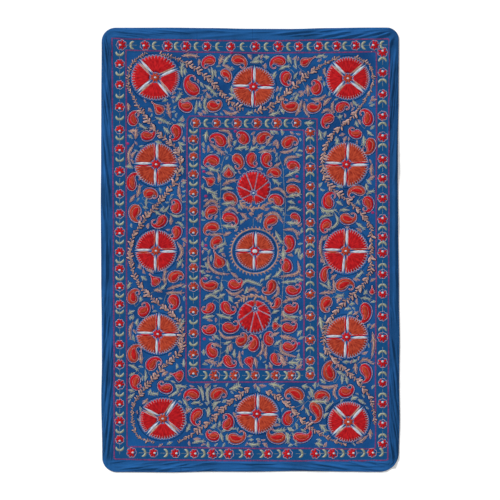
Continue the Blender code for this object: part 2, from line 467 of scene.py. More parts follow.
@dataclass(frozen=True)
class ThreadFinish:
    """The look of one thread: its two tones, how it shines, and how its rows lie."""

    slot: str
    dark: Colour
    light: Colour
    roughness: float = 0.75
    sheen: float = 0.05
    row_pitch: float = ROW_PITCH
    stitch_length: float = 0.0052
    bump: float = 0.00035

    def material(self, name: str, rows: bool) -> bpy.types.Material:
        """Builds the thread's material.

        Args:
            name: The material's name.
            rows: Whether the piece has rows of stitches that its own UV map follows.

        Returns:
            The material.
        """
        material = bpy.data.materials.new(name)
        material.use_nodes = True
        shader = material.node_tree.nodes["Principled BSDF"]
        shader.inputs["Roughness"].default_value = self.roughness
        shader.inputs["Sheen Weight"].default_value = self.sheen
        shader.inputs["Sheen Roughness"].default_value = 0.45
        shader.inputs["Specular IOR Level"].default_value = MIRRORING
        write = NodeWriter(material.node_tree)
        where = write.add("ShaderNodeTexCoord").outputs["Object"]
        shade = write.add("ShaderNodeAttribute", attribute_name="shade").outputs["Fac"]
        fuzz = write.noise(where, 900.0, 3.0)
        patch = write.noise(where, 42.0, 2.0)
        tone = write.math("MULTIPLY", shade, 0.5)
        tone = write.math("ADD", tone, write.span(patch, -0.1, 0.4, 0.3, 0.7))
        height = fuzz
        if rows:
            row_rise_and_shade = self.row_height(write)
            streak = write.span(self.streaks(write), -0.55, 0.55, 0.3, 0.7)
            # Painted shade: the rows are painted lighter on their crowns and darker in the grooves between them;
            # the same rise also drives the bump.
            tone = write.math("ADD", write.math("MULTIPLY", tone, 0.7), write.math("MULTIPLY", row_rise_and_shade, 0.25))
            tone = write.math("ADD", tone, streak)
            height = write.math("ADD", row_rise_and_shade, write.math("MULTIPLY", fuzz, 0.3))
        tone = write.math("ADD", tone, write.span(fuzz, -0.12, 0.12))
        tone = write.add("ShaderNodeClamp", {"Value": tone}).outputs[0]
        colour = write.mix(tone, opaque(self.dark), opaque(self.light))
        bump = write.add("ShaderNodeBump", {"Strength": 0.8, "Distance": self.bump, "Height": height})
        material.node_tree.links.new(colour, shader.inputs["Base Color"])
        material.node_tree.links.new(bump.outputs[0], shader.inputs["Normal"])
        return material

    def streaks(self, write: NodeWriter) -> bpy.types.NodeSocket:
        """Writes the uneven tone of bundles of rows, drawn out along them, and returns its socket."""
        along = write.add("ShaderNodeUVMap", uv_map="stitches").outputs[0]
        drawn = write.add("ShaderNodeVectorMath", {0: along, 1: (55.0, 260.0, 1.0)}, operation="MULTIPLY")
        return write.noise(drawn.outputs[0], 1.0, 2.0)

    def row_height(self, write: NodeWriter) -> bpy.types.NodeSocket:
        """Writes the rounded rows of thread and the small ties that hold them down.

        Args:
            write: The writer of the material's tree.

        Returns:
            The socket of the height, from 0 between the rows to 1 on them.
        """
        along = write.add("ShaderNodeUVMap", uv_map="stitches").outputs[0]
        axes = write.add("ShaderNodeSeparateXYZ", {0: along})
        row = write.math("DIVIDE", axes.outputs["Y"], self.row_pitch)
        across = write.math("SUBTRACT", write.math("FRACT", row), 0.5)
        squared = write.math("MULTIPLY", across, across)
        round_row = write.math("SUBTRACT", 1.0, write.math("MULTIPLY", squared, 3.6))
        shift = write.math("MULTIPLY", write.math("FLOOR", row), 0.37)
        tie = write.math("ADD", write.math("DIVIDE", axes.outputs["X"], self.stitch_length), shift)
        from_tie = write.math("ABSOLUTE", write.math("SUBTRACT", write.math("FRACT", tie), 0.5))
        return write.math("MULTIPLY", round_row, write.span(from_tie, 1.0, 0.55, 0.38, 0.5))


class Thread(Enum):
    """The threads that the cloth is worked in."""

    RED = ThreadFinish("red_thread", (0.25, 0.005, 0.009), (0.50, 0.014, 0.017))
    ORANGE = ThreadFinish("orange_thread", (0.21, 0.018, 0.011), (0.44, 0.062, 0.028))
    PALE = ThreadFinish("pale_thread", (0.26, 0.30, 0.37), (0.53, 0.57, 0.64))
    ROSE = ThreadFinish("pale_thread", (0.42, 0.23, 0.27), (0.76, 0.53, 0.55))
    SAGE = ThreadFinish("sage_thread", (0.17, 0.185, 0.14), (0.39, 0.395, 0.30))
    BEIGE = ThreadFinish("beige_thread", (0.20, 0.105, 0.085), (0.47, 0.30, 0.225))
    PLUM = ThreadFinish("plum_thread", (0.18, 0.012, 0.070), (0.37, 0.036, 0.155))
    # The navy thread is laid only as painted shade round the motifs.
    NAVY = ThreadFinish("navy_thread", (0.002, 0.010, 0.040), (0.007, 0.024, 0.085), 0.85, 0.0)


RED, ORANGE, PALE, ROSE, SAGE = Thread.RED, Thread.ORANGE, Thread.PALE, Thread.ROSE, Thread.SAGE
BEIGE, PLUM, NAVY = Thread.BEIGE, Thread.PLUM, Thread.NAVY


@dataclass(frozen=True)
class BorderStrip:
    """A flower border's band of darker cloth: its sides on the chart, left, top, right and bottom."""

    outer: tuple[float, float, float, float]
    inner: tuple[float, float, float, float]

    @staticmethod
    def box(write: NodeWriter, axes: bpy.types.Node, sides: tuple[float, float, float, float]) -> object:
        """Writes whether a place lies between four sides and returns the socket, 1 inside and 0 outside."""
        low, high = place(sides[0], sides[3]), place(sides[2], sides[1])
        middle, half = (low + high) / 2, (high - low) / 2
        inside: object = 1.0
        for axis, name in enumerate("XY"):
            away = write.math("ABSOLUTE", write.math("SUBTRACT", axes.outputs[name], float(middle[axis])))
            inside = write.math("MULTIPLY", inside, write.math("LESS_THAN", away, float(half[axis])))
        return inside

    def mask(self, write: NodeWriter, axes: bpy.types.Node) -> bpy.types.NodeSocket:
        """Writes whether a place lies on the band and returns the socket."""
        return write.math("SUBTRACT", self.box(write, axes, self.outer), self.box(write, axes, self.inner))


BORDER_STRIPS = (
    BorderStrip((113.5, 40, 388.6, 460), (126.8, 52.6, 376, 448)),
    BorderStrip((186.6, 117.4, 317.6, 382), (200, 129.4, 304, 369.5)),
)


class CreaseShadeLine(NamedTuple):
    """A faint straight dark line of painted shade along a crease left from folding the cloth away: the axis it
    crosses and its chart place.
    """

    axis: str
    chart: float

    def at(self) -> float:
        """Where it crosses the axis, in metres."""
        return float(place(self.chart, self.chart)["XY".index(self.axis)])


# Painted shade lines where the cloth was folded away; the cloth itself lies flat there.
CREASE_SHADE_LINES = (
    CreaseShadeLine("X", 181),
    CreaseShadeLine("X", 197),
    CreaseShadeLine("X", 252.5),
    CreaseShadeLine("X", 301),
    CreaseShadeLine("Y", 107),
)


@dataclass(frozen=True)
class GroundFinish:
    """The look of the plain-woven blue cotton."""

    slot: str = "ground_cloth"
    deep: Colour = (0.004, 0.040, 0.145)
    bright: Colour = (0.008, 0.074, 0.238)
    strip: Colour = (0.004, 0.056, 0.165)
    margin_deep: Colour = (0.006, 0.048, 0.145)
    margin_bright: Colour = (0.011, 0.082, 0.250)
    # The colour of the painted shade along the storage creases.
    crease: Colour = (0.003, 0.030, 0.105)
    rubbed: Colour = (0.10, 0.20, 0.42)
    rim_shade: Colour = (0.004, 0.016, 0.055)
    roughness: float = 0.88
    yarn_pitch: float = 0.0011

    def material(self) -> bpy.types.Material:
        """Builds the material: dyed unevenly, paler in its margin, with a fine plain weave, and with painted
        shade on the right-hand margin, along the rim and along the storage creases.
        """
        material = bpy.data.materials.new("blue_cotton")
        material.use_nodes = True
        shader = material.node_tree.nodes["Principled BSDF"]
        shader.inputs["Roughness"].default_value = self.roughness
        shader.inputs["Sheen Weight"].default_value = 0.03
        shader.inputs["Specular IOR Level"].default_value = MIRRORING
        write = NodeWriter(material.node_tree)
        where = write.add("ShaderNodeTexCoord").outputs["Object"]
        axes = write.add("ShaderNodeSeparateXYZ", {0: where})
        warp = write.math("SINE", write.math("MULTIPLY", axes.outputs["X"], math.tau / self.yarn_pitch))
        weft = write.math("SINE", write.math("MULTIPLY", axes.outputs["Y"], math.tau / self.yarn_pitch))
        weave = write.math("MULTIPLY", warp, weft)
        slub = write.noise(where, 260.0, 4.0)
        dye = write.noise(where, 6.0, 5.0)
        dyed = write.span(dye, 0.0, 1.0, 0.35, 0.65)
        field_colour = write.mix(dyed, opaque(self.deep), opaque(self.bright))
        for strip in BORDER_STRIPS:
            field_colour = write.mix(strip.mask(write, axes), field_colour, opaque(self.strip))
        inset = write.add("ShaderNodeAttribute", attribute_name="inset").outputs["Fac"]
        in_margin = write.span(inset, 1.0, 0.0, 0.046, 0.056)
        # The margin is lighter at its top and bottom ends than along its long sides, and its right-hand side is
        # painted darker as shade.
        from_middle = write.math("ABSOLUTE", axes.outputs["Y"])
        tone = write.math("ADD", dyed, write.span(from_middle, -0.12, 0.30, 0.97, 1.0))
        tone = write.math("ADD", tone, write.span(axes.outputs["X"], 0.0, -0.48, 0.64, 0.66))
        margin_colour = write.mix(tone, opaque(self.margin_deep), opaque(self.margin_bright))
        colour = write.mix(in_margin, field_colour, margin_colour)
        # Painted shade: dark lines along the storage creases, made uneven by the dye.
        for crease in CREASE_SHADE_LINES:
            away = write.math("ABSOLUTE", write.math("SUBTRACT", axes.outputs[crease.axis], crease.at()))
            uneven = write.span(dye, 0.2, 1.0, 0.4, 0.6)
            faint = write.math("MULTIPLY", write.span(away, 0.55, 0.0, 0.0, 0.0035), uneven)
            colour = write.mix(faint, colour, opaque(self.crease))
        rub = write.span(slub, 0.0, 0.10, 0.4, 0.8)
        colour = write.mix(rub, colour, opaque(self.rubbed))
        # Painted shade: the last 3.5 mm of the cloth darken towards the rim, where the turned edge curves away
        # from the light.
        edge = write.span(inset, 0.45, 0.0, 0.0, 0.0035)
        colour = write.mix(edge, colour, opaque(self.rim_shade))
        height = write.math("ADD", write.math("MULTIPLY", weave, 0.35), slub)
        bump = write.add("ShaderNodeBump", {"Strength": 0.7, "Distance": 0.00025, "Height": height})
        material.node_tree.links.new(colour, shader.inputs["Base Color"])
        material.node_tree.links.new(bump.outputs[0], shader.inputs["Normal"])
        return material


@dataclass
class StitchMesh:
    """Closed, softly domed patches of one thread that are joined into one piece."""

    name: str
    thread: Thread
    cloth: ClothShape
    points: list[np.ndarray] = field(default_factory=list)
    faces: list[tuple[int, ...]] = field(default_factory=list)
    rows: list[np.ndarray] = field(default_factory=list)
    shades: list[float] = field(default_factory=list)
    count: int = 0

    def add_grid(self, grid: np.ndarray, rise: np.ndarray, rows: np.ndarray, shade: float) -> None:
        """Adds one patch over a grid of places, with a flat underside that dips into the cloth.

        Args:
            grid: Places on the cloth, as [i, j, axis], with j to the left of i as seen from above.
            rise: Height of each place over the face of the cloth.
            rows: Distance along and across the rows of stitches at each place.
            shade: How light the patch's thread is, from 0 to 1.
        """
        across = grid.shape[1]
        steps = grid.shape[0]
        z = self.cloth.face(grid[..., 0], grid[..., 1]) + rise
        self.points.append(np.dstack([grid, z]).reshape(-1, 3))
        self.rows.append(rows.reshape(-1, 2))
        self.shades += [shade] * (steps * across)
        start = self.count
        self.count += steps * across
        for i in range(steps - 1):
            here, after = start + i * across, start + (i + 1) * across
            for j in range(across - 1):
                self.faces.append((here + j, after + j, after + j + 1, here + j + 1))
            self.faces.append((here, here + across - 1, after + across - 1, after))
        last = start + (steps - 1) * across
        self.faces.append(tuple(range(start, start + across)))
        self.faces.append(tuple(range(last + across - 1, last - 1, -1)))

    def add_strip(self, spine: np.ndarray, half: np.ndarray, height: float, across: int, shade: float,
                  lift: float = 0.0) -> None:
        """Adds a domed strip along a spine.

        Args:
            spine: Places along the middle of the strip.
            half: Half width of the strip at each of them.
            height: How high its middle stands where it is widest.
            across: How many points it has across.
            shade: How light its thread is, from 0 to 1.
            lift: How far the whole strip stands over the face of the cloth.
        """
        left = leftward(spine)
        share = np.linspace(-1.0, 1.0, across)
        grid = spine[:, None, :] + left[:, None, :] * (half[:, None] * share[None, :])[..., None]
        dome = (1.0 - share**2) ** 0.6
        fullness = np.clip(half / max(half.max(), 1e-6) * 1.6, 0.0, 1.0)
        rise = lift + height * fullness[:, None] * dome[None, :]
        rise[:, [0, -1]] = -SINK
        run = np.concatenate([[0.0], np.cumsum(np.hypot(*np.diff(spine, axis=0).T))])
        rows = np.dstack([np.repeat(run[:, None], across, axis=1), half[:, None] * share[None, :]])
        self.add_grid(grid, rise, rows, shade)

    def add_dot(self, centre: np.ndarray, radius: float, height: float, shade: float,
                lift: float = 0.0) -> None:
        """Adds a round domed knot of thread."""
        share = np.linspace(-1.0, 1.0, 7)
        spine = centre + np.column_stack([radius * share, np.zeros(7)])
        half = np.maximum(radius * np.sqrt(np.maximum(1.0 - share**2, 0.0)), 0.0003)
        self.add_strip(spine, half, height, 5, shade, lift)

    def build(self) -> bpy.types.Object:
        """Joins the patches into one object with its material.

        Returns:
            The piece.
        """
        mesh = bpy.data.meshes.new(self.name)
        mesh.from_pydata(np.vstack(self.points), [], self.faces)
        rows = np.vstack(self.rows)
        owners = np.empty(len(mesh.loops), np.int32)
        mesh.loops.foreach_get("vertex_index", owners)
        mesh.uv_layers.new(name="stitches").data.foreach_set("uv", rows[owners].astype(np.float32).ravel())
        shade = mesh.attributes.new("shade", "FLOAT", "POINT")
        shade.data.foreach_set("value", np.array(self.shades, np.float32))
        mesh.shade_smooth()
        mesh.materials.append(self.thread.value.material(f"{self.name}_thread", rows=True))
        return link(self.name, mesh)


@dataclass
class LineWork:
    """Paths on the cloth that Geometry Nodes work in stitches, all of one thread."""

    name: str
    thread: Thread
    cloth: ClothShape
    stitch_length: float = 0.0042
    strand_width: float = 0.0022
    strand_height: float = 0.0011
    strands: int = 1
    seed: int = 1
    points: list[np.ndarray] = field(default_factory=list)
    edges: list[tuple[int, int]] = field(default_factory=list)
    count: int = 0

    def add_path(self, path: np.ndarray, closed: bool = False, lift: float = 0.0002) -> None:
        """Adds a path.

        Args:
            path: Places along it.
            closed: Whether it runs back to its start.
            lift: How far its middle lies over the face of the cloth.
        """
        z = self.cloth.face(path[:, 0], path[:, 1]) + lift
        self.points.append(np.column_stack([path, z]))
        total = len(path)
        self.edges += [(self.count + i, self.count + i + 1) for i in range(total - 1)]
        if closed:
            self.edges.append((self.count + total - 1, self.count))
        self.count += total

    def build(self) -> bpy.types.Object:
        """Works the paths in stitches and returns the piece."""
        tree = stitch_tree(self.strands)
        values = {
            "Stitch Length": self.stitch_length,
            "Strand Width": self.strand_width,
            "Strand Height": self.strand_height,
            "Seed": self.seed,
        }
        return work_paths(self, tree, values)


@dataclass
class LeafletWork(LineWork):
    """Paths on the cloth that Geometry Nodes set with leaflets on both sides."""

    spacing: float = 0.0074
    leaflet_length: float = 0.0215
    leaflet_width: float = 0.0080
    leaflet_height: float = 0.0018
    even_angle: float = math.radians(48)
    odd_angle: float = math.radians(-46)

    def build(self) -> bpy.types.Object:
        """Sets the leaflets along the paths and returns the piece."""
        values = {
            "Spacing": self.spacing,
            "Leaflet Length": self.leaflet_length,
            "Leaflet Width": self.leaflet_width,
            "Leaflet Height": self.leaflet_height,
            "Even Angle": self.even_angle,
            "Odd Angle": self.odd_angle,
            "Seed": self.seed,
        }
        return work_paths(self, leaflet_tree(), values)


def new_tree(name: str, floats: tuple[str, ...]) -> tuple[bpy.types.NodeTree, NodeWriter, bpy.types.Node]:
    """Starts a Geometry Nodes tree.

    Args:
        name: The tree's name.
        floats: The names of its number inputs.

    Returns:
        The tree, its writer and its input node.
    """
    tree = bpy.data.node_groups.new(name, "GeometryNodeTree")
    tree.interface.new_socket("Geometry", in_out="INPUT", socket_type="NodeSocketGeometry")
    for label in floats:
        tree.interface.new_socket(label, in_out="INPUT", socket_type="NodeSocketFloat")
    tree.interface.new_socket("Seed", in_out="INPUT", socket_type="NodeSocketInt")
    tree.interface.new_socket("Material", in_out="INPUT", socket_type="NodeSocketMaterial")
    tree.interface.new_socket("Geometry", in_out="OUTPUT", socket_type="NodeSocketGeometry")
    write = NodeWriter(tree)
    return tree, write, write.add("NodeGroupInput")


def random_between(write: NodeWriter, entry: bpy.types.Node, low: float, high: float) -> bpy.types.NodeSocket:
    """Writes a number drawn from the tree's seed for each point or instance and returns its socket."""
    inputs = {2: low, 3: high, "Seed": entry.outputs["Seed"]}
    return write.add("FunctionNodeRandomValue", inputs, data_type="FLOAT").outputs[1]


def end_tree(write: NodeWriter, entry: bpy.types.Node, instances: bpy.types.NodeSocket) -> None:
    """Gives each instance its own shade, then makes plain geometry of them with the tree's material."""
    chance = random_between(write, entry, 0.0, 1.0)
    shaded = write.add(
        "GeometryNodeStoreNamedAttribute",
        {"Geometry": instances, "Name": "shade", "Value": chance},
        data_type="FLOAT",
        domain="INSTANCE",
    )
    real = write.add("GeometryNodeRealizeInstances", {0: shaded.outputs[0]})
    dressed = write.add("GeometryNodeSetMaterial", {0: real.outputs[0], "Material": entry.outputs["Material"]})
    write.add("NodeGroupOutput", {0: dressed.outputs[0]})


def thread_bead(write: NodeWriter, sides: int, rings: int, size: bpy.types.NodeSocket, shift: object,
                splay: float = 0.0) -> bpy.types.NodeSocket:
    """Writes one pointed bead of thread that lies along Z.

    Args:
        write: The writer of the tree.
        sides: How many sides it has.
        rings: How many rings it has from tip to tip.
        size: Its half width, half height and half length.
        shift: Where its middle lies.
        splay: How far it turns about Y, in radians.

    Returns:
        The socket of its mesh.
    """
    ball = write.add("GeometryNodeMeshUVSphere", {"Segments": sides, "Rings": rings, "Radius": 1.0})
    moved = write.add(
        "GeometryNodeTransform",
        {"Geometry": ball.outputs["Mesh"], "Translation": shift, "Rotation": (0.0, splay, 0.0), "Scale": size},
    )
    return moved.outputs[0]


def half_of(write: NodeWriter, entry: bpy.types.Node, names: tuple[str, str, str], stretch: float) -> object:
    """Writes the half sizes of a bead from three inputs of the tree and returns the vector's socket."""
    halves = [write.math("MULTIPLY", entry.outputs[name], 0.5) for name in names]
    halves[2] = write.math("MULTIPLY", halves[2], stretch)
    return write.add("ShaderNodeCombineXYZ", {0: halves[0], 1: halves[1], 2: halves[2]}).outputs[0]


def face_along(write: NodeWriter, direction: bpy.types.NodeSocket) -> bpy.types.NodeSocket:
    """Writes the turn that lays a bead along a direction with its upper side up."""
    laid = write.add("FunctionNodeAlignRotationToVector", {"Vector": direction}, axis="Z")
    turned = write.add(
        "FunctionNodeAlignRotationToVector",
        {"Rotation": laid.outputs[0], "Vector": (0.0, 0.0, 1.0)},
        axis="Y",
        pivot_axis="Z",
    )
    return turned.outputs[0]


def path_points(write: NodeWriter, entry: bpy.types.Node, spacing: str) -> bpy.types.NodeSocket:
    """Writes the even points along the paths and returns the curve's socket."""
    curve = write.add("GeometryNodeMeshToCurve", {0: entry.outputs["Geometry"]})
    even = write.add("GeometryNodeResampleCurve", {"Curve": curve.outputs[0]}, mode="LENGTH")
    write.tree.links.new(entry.outputs[spacing], even.inputs["Length"])
    return even.outputs[0]


def stitch_tree(strands: int) -> bpy.types.NodeTree:
    """Writes the tree that works paths in stitches.

    Args:
        strands: One for a plain line of thread, two for the pairs of a chain stitch.

    Returns:
        The tree.
    """
    tree, write, entry = new_tree("stitch_line", ("Stitch Length", "Strand Width", "Strand Height"))
    size = half_of(write, entry, ("Strand Width", "Strand Height", "Stitch Length"), 1.2)
    if strands == 1:
        stitch = thread_bead(write, 5, 2, size, (0.0, 0.0, 0.0))
    else:
        aside = write.math("MULTIPLY", entry.outputs["Strand Width"], 0.52)
        right = write.add("ShaderNodeCombineXYZ", {0: aside}).outputs[0]
        left = write.add("ShaderNodeCombineXYZ", {0: write.math("MULTIPLY", aside, -1.0)}).outputs[0]
        pair = write.add("GeometryNodeJoinGeometry")
        tree.links.new(thread_bead(write, 4, 2, size, right, 0.22), pair.inputs[0])
        tree.links.new(thread_bead(write, 4, 2, size, left, -0.22), pair.inputs[0])
        stitch = pair.outputs[0]
    tangent = write.add("GeometryNodeInputTangent").outputs[0]
    placed = write.add(
        "GeometryNodeInstanceOnPoints",
        {
            "Points": path_points(write, entry, "Stitch Length"),
            "Instance": stitch,
            "Rotation": face_along(write, tangent),
            "Scale": random_between(write, entry, 0.88, 1.12),
        },
    )
    end_tree(write, entry, placed.outputs[0])
    return tree


def leaflet_tree() -> bpy.types.NodeTree:
    """Writes the tree that sets leaflets in turn to the left and to the right of paths, and returns it."""
    floats = ("Spacing", "Leaflet Length", "Leaflet Width", "Leaflet Height", "Even Angle", "Odd Angle")
    tree, write, entry = new_tree("leaflet_line", floats)
    size = half_of(write, entry, ("Leaflet Width", "Leaflet Height", "Leaflet Length"), 1.0)
    middle = write.math("MULTIPLY", entry.outputs["Leaflet Length"], 0.46)
    shift = write.add("ShaderNodeCombineXYZ", {2: middle}).outputs[0]
    leaflet = thread_bead(write, 6, 4, size, shift)
    odd = write.math("MODULO", write.add("GeometryNodeInputIndex").outputs[0], 2.0)
    change = write.math("SUBTRACT", entry.outputs["Odd Angle"], entry.outputs["Even Angle"])
    angle = write.math("ADD", entry.outputs["Even Angle"], write.math("MULTIPLY", change, odd))
    angle = write.math("ADD", angle, random_between(write, entry, -0.5, 0.5))
    tangent = write.add("GeometryNodeInputTangent").outputs[0]
    aside = write.add("ShaderNodeVectorRotate", {"Vector": tangent, "Angle": angle}, rotation_type="Z_AXIS")
    chance = random_between(write, entry, 0.75, 1.15)
    number = write.add("GeometryNodeInputIndex").outputs[0]
    wave = write.math("SINE", write.math("MULTIPLY", number, TUFT_TURN))
    scale = write.math("MULTIPLY", chance, write.span(wave, 0.55, 1.15, -1.0, 1.0))
    placed = write.add(
        "GeometryNodeInstanceOnPoints",
        {
            "Points": path_points(write, entry, "Spacing"),
            "Instance": leaflet,
            "Rotation": face_along(write, aside.outputs[0]),
            "Scale": scale,
        },
    )
    end_tree(write, entry, placed.outputs[0])
    return tree


def work_paths(work: LineWork, tree: bpy.types.NodeTree, values: dict[str, float]) -> bpy.types.Object:
    """Runs a tree over a piece's paths and keeps the result as a plain mesh.

    Args:
        work: The paths, the name and the thread.
        tree: The tree.
        values: Its inputs, by name.

    Returns:
        The piece.
    """
    guide = bpy.data.meshes.new(f"{work.name}_paths")
    guide.from_pydata(np.vstack(work.points), work.edges, [])
    carrier = link(f"{work.name}_paths", guide)
    modifier = carrier.modifiers.new("needle", "NODES")
    modifier.node_group = tree
    material = work.thread.value.material(f"{work.name}_thread", rows=False)
    for item in tree.interface.items_tree:
        if item.in_out == "INPUT" and item.name in values:
            modifier[item.identifier] = values[item.name]
        if item.in_out == "INPUT" and item.name == "Material":
            modifier[item.identifier] = material
    graph = bpy.context.evaluated_depsgraph_get()
    mesh = bpy.data.meshes.new_from_object(carrier.evaluated_get(graph))
    bpy.data.objects.remove(carrier, do_unlink=True)
    mesh.name = work.name
    mesh.shade_smooth()
    return link(work.name, mesh)


@dataclass
class Needlework:
    """Every piece of embroidery that is being worked, by what it shows and by its thread."""

    cloth: ClothShape
    fills: dict[str, StitchMesh] = field(default_factory=dict)
    lines: dict[str, LineWork] = field(default_factory=dict)
    taken: list[np.ndarray] = field(default_factory=list)
    chance: np.random.Generator = field(default_factory=lambda: np.random.default_rng(31))

    def take(self, spots: np.ndarray, reach: np.ndarray | float) -> None:
        """Notes that a motif covers the cloth round some places.

        Args:
            spots: The places, one row each.
            reach: How far round each of them it covers, in metres.
        """
        self.taken.append(np.column_stack([spots, np.broadcast_to(reach, len(spots))]))

    def fill(self, motif: str, thread: Thread) -> StitchMesh:
        """Gives the filled patches of one motif in one thread."""
        name = f"{motif}_{thread.name.lower()}"
        if name not in self.fills:
            self.fills[name] = StitchMesh(name, thread, self.cloth)
        return self.fills[name]

    def line(self, motif: str, thread: Thread, width: float = 0.0024, strands: int = 1,
             stitch: float = 0.0042) -> LineWork:
        """Gives the stitched lines of one motif in one thread.

        Args:
            motif: What the lines belong to.
            thread: Their thread.
            width: How wide one strand is, in metres.
            strands: One for a plain line, two for chain stitch.
            stitch: How long one stitch is, in metres.

        Returns:
            The lines, to which paths can be added.
        """
        name = f"{motif}_{thread.name.lower()}"
        if name not in self.lines:
            self.lines[name] = LineWork(name, thread, self.cloth, stitch, width, strands=strands)
        return self.lines[name]

    def painted_shade_line(self, path: np.ndarray) -> None:
        """Works a closed dark navy line round a motif, as painted shade where its raised stitches would shade
        the cloth.
        """
        self.line("shade_lines", NAVY, 0.0050, stitch=0.0075).add_path(path, closed=True, lift=0.0)

    def shade(self) -> float:
        """Draws how light the thread of one patch is."""
        return float(self.chance.uniform(0.25, 0.85))

    def finish(self) -> None:
        """Builds each piece and hands it to the frame."""
        for work in (*self.fills.values(), *self.lines.values()):
            hand_over(work.build())


@dataclass
class GroundCloth:
    """The ground: one thin sheet with rounded corners, a turned edge and folds in its plain margin."""

    shape: ClothShape
    finish: GroundFinish = GroundFinish()
    short_steps: int = 128
    long_steps: int = 190
    corner_steps: int = 10
    upper_insets: tuple[float, ...] = (
        0.0, 0.0004, 0.0009, 0.0016, 0.0038, 0.006, 0.0085, 0.011, 0.0135, 0.016, 0.0185, 0.021, 0.0235, 0.026,
        0.0285, 0.031, 0.0335, 0.036, 0.0385, 0.041, 0.0435, 0.046, 0.0485, 0.051, 0.054, 0.058, 0.064,
    )
    lower_insets: tuple[float, ...] = (
        0.0, 0.0004, 0.0016, 0.007, 0.014, 0.021, 0.028, 0.035, 0.042, 0.049, 0.056, 0.064,
    )

    def ring_points(self, inset: float, upper: bool) -> np.ndarray:
        """One row of points all the way round, on the face or on the underside."""
        shape = self.shape
        flat = shape.ring(inset, self.short_steps, self.long_steps, self.corner_steps)
        base = shape.base(flat[:, 0], flat[:, 1])
        thick = shape.thickness_at(inset)
        rim = 1.0 - min(inset / shape.rim_depth, 1.0)
        round_in = thick / 2 * (1.0 - math.sqrt(1.0 - rim**2))
        return np.column_stack([flat, base + (thick - round_in if upper else round_in)])

    def field_points(self, upper: bool) -> np.ndarray:
        """The grid of the flat field inside the last row, on the face or on the underside."""
        shape = self.shape
        hold = shape.flat_field_inset + shape.field_corner_radius
        x = np.linspace(-1.0, 1.0, self.short_steps + 1) * (shape.width / 2 - hold)
        y = np.linspace(-1.0, 1.0, self.long_steps + 1) * (shape.length / 2 - hold)
        grid_x, grid_y = (axis.ravel() for axis in np.meshgrid(x, y))
        across, down = shape.side_shares(grid_x, grid_y)
        grid_x, grid_y = grid_x * across, grid_y * down
        z = shape.base(grid_x, grid_y) + (shape.thickness if upper else 0.0)
        return np.column_stack([grid_x, grid_y, z])

    def field_faces(self, border: int, grid: int, around: int) -> list[tuple[int, ...]]:
        """Fills the field and the narrow strip between it and the last row.

        Args:
            border: Number of the last row's first point.
            grid: Number of the grid's first point.
            around: How many points the row has.

        Returns:
            The faces, facing up.
        """
        columns, rows = self.short_steps, self.long_steps
        number = np.arange((rows + 1) * (columns + 1)).reshape(rows + 1, columns + 1) + grid
        quads = np.stack([number[:-1, :-1], number[:-1, 1:], number[1:, 1:], number[1:, :-1]], axis=-1)
        faces = [tuple(quad) for quad in quads.reshape(-1, 4).tolist()]
        sides = (number[:, -1], number[-1, ::-1], number[::-1, 0], number[0, :])
        inner: list[int] = []
        for side in sides:
            inner += [int(side[0])] * self.corner_steps + [int(point) for point in side[:-1]]
        for index in range(around):
            after = (index + 1) % around
            corners = [border + index, border + after, inner[after], inner[index]]
            if inner[after] == inner[index]:
                corners.pop()
            faces.append(tuple(corners))
        return faces

    def half(self, upper: bool, start: int) -> tuple[np.ndarray, list[tuple[int, ...]], np.ndarray]:
        """Builds the face or the underside of the cloth, without the faces at the rim.

        Args:
            upper: Whether it is the face.
            start: The number of its first point.

        Returns:
            Its points, its faces, and how far in from the rim each point lies.
        """
        insets = self.upper_insets if upper else self.lower_insets[1:]
        rings = [self.ring_points(inset, upper) for inset in insets]
        around = len(rings[0])
        faces: list[tuple[int, ...]] = []
        for row in range(len(rings) - 1):
            outer, inner = start + row * around, start + (row + 1) * around
            for index in range(around):
                after = (index + 1) % around
                faces.append((outer + index, outer + after, inner + after, inner + index))
        border = start + (len(rings) - 1) * around
        faces += self.field_faces(border, border + around, around)
        grid = self.field_points(upper)
        depth = np.concatenate([np.repeat(insets, around), self.shape.inset(grid[:, 0], grid[:, 1])])
        if not upper:
            faces = [face[::-1] for face in faces]
        return np.vstack([*rings, grid]), faces, depth

    def build(self) -> bpy.types.Object:
        """Builds the cloth as one closed thin sheet with its material.

        Returns:
            The piece.
        """
        face_points, faces, face_depth = self.half(True, 0)
        start = len(face_points)
        back_points, back_faces, back_depth = self.half(False, start)
        around = 2 * (self.short_steps + self.long_steps) + 4 * self.corner_steps
        rim = [
            (start + index, start + (index + 1) % around, (index + 1) % around, index)
            for index in range(around)
        ]
        mesh = bpy.data.meshes.new("suzani_ground")
        mesh.from_pydata(np.vstack([face_points, back_points]), [], faces + back_faces + rim)
        inset = mesh.attributes.new("inset", "FLOAT", "POINT")
        inset.data.foreach_set("value", np.concatenate([face_depth, back_depth]).astype(np.float32))
        mesh.shade_smooth()
        mesh.materials.append(self.finish.material())
        return link("suzani_ground", mesh)

    def finish_piece(self) -> None:
        """Builds the cloth and hands it to the frame in place of its plain solid."""
        piece = self.build()
        hand_over(piece)
        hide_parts(CLOTH_NODE)


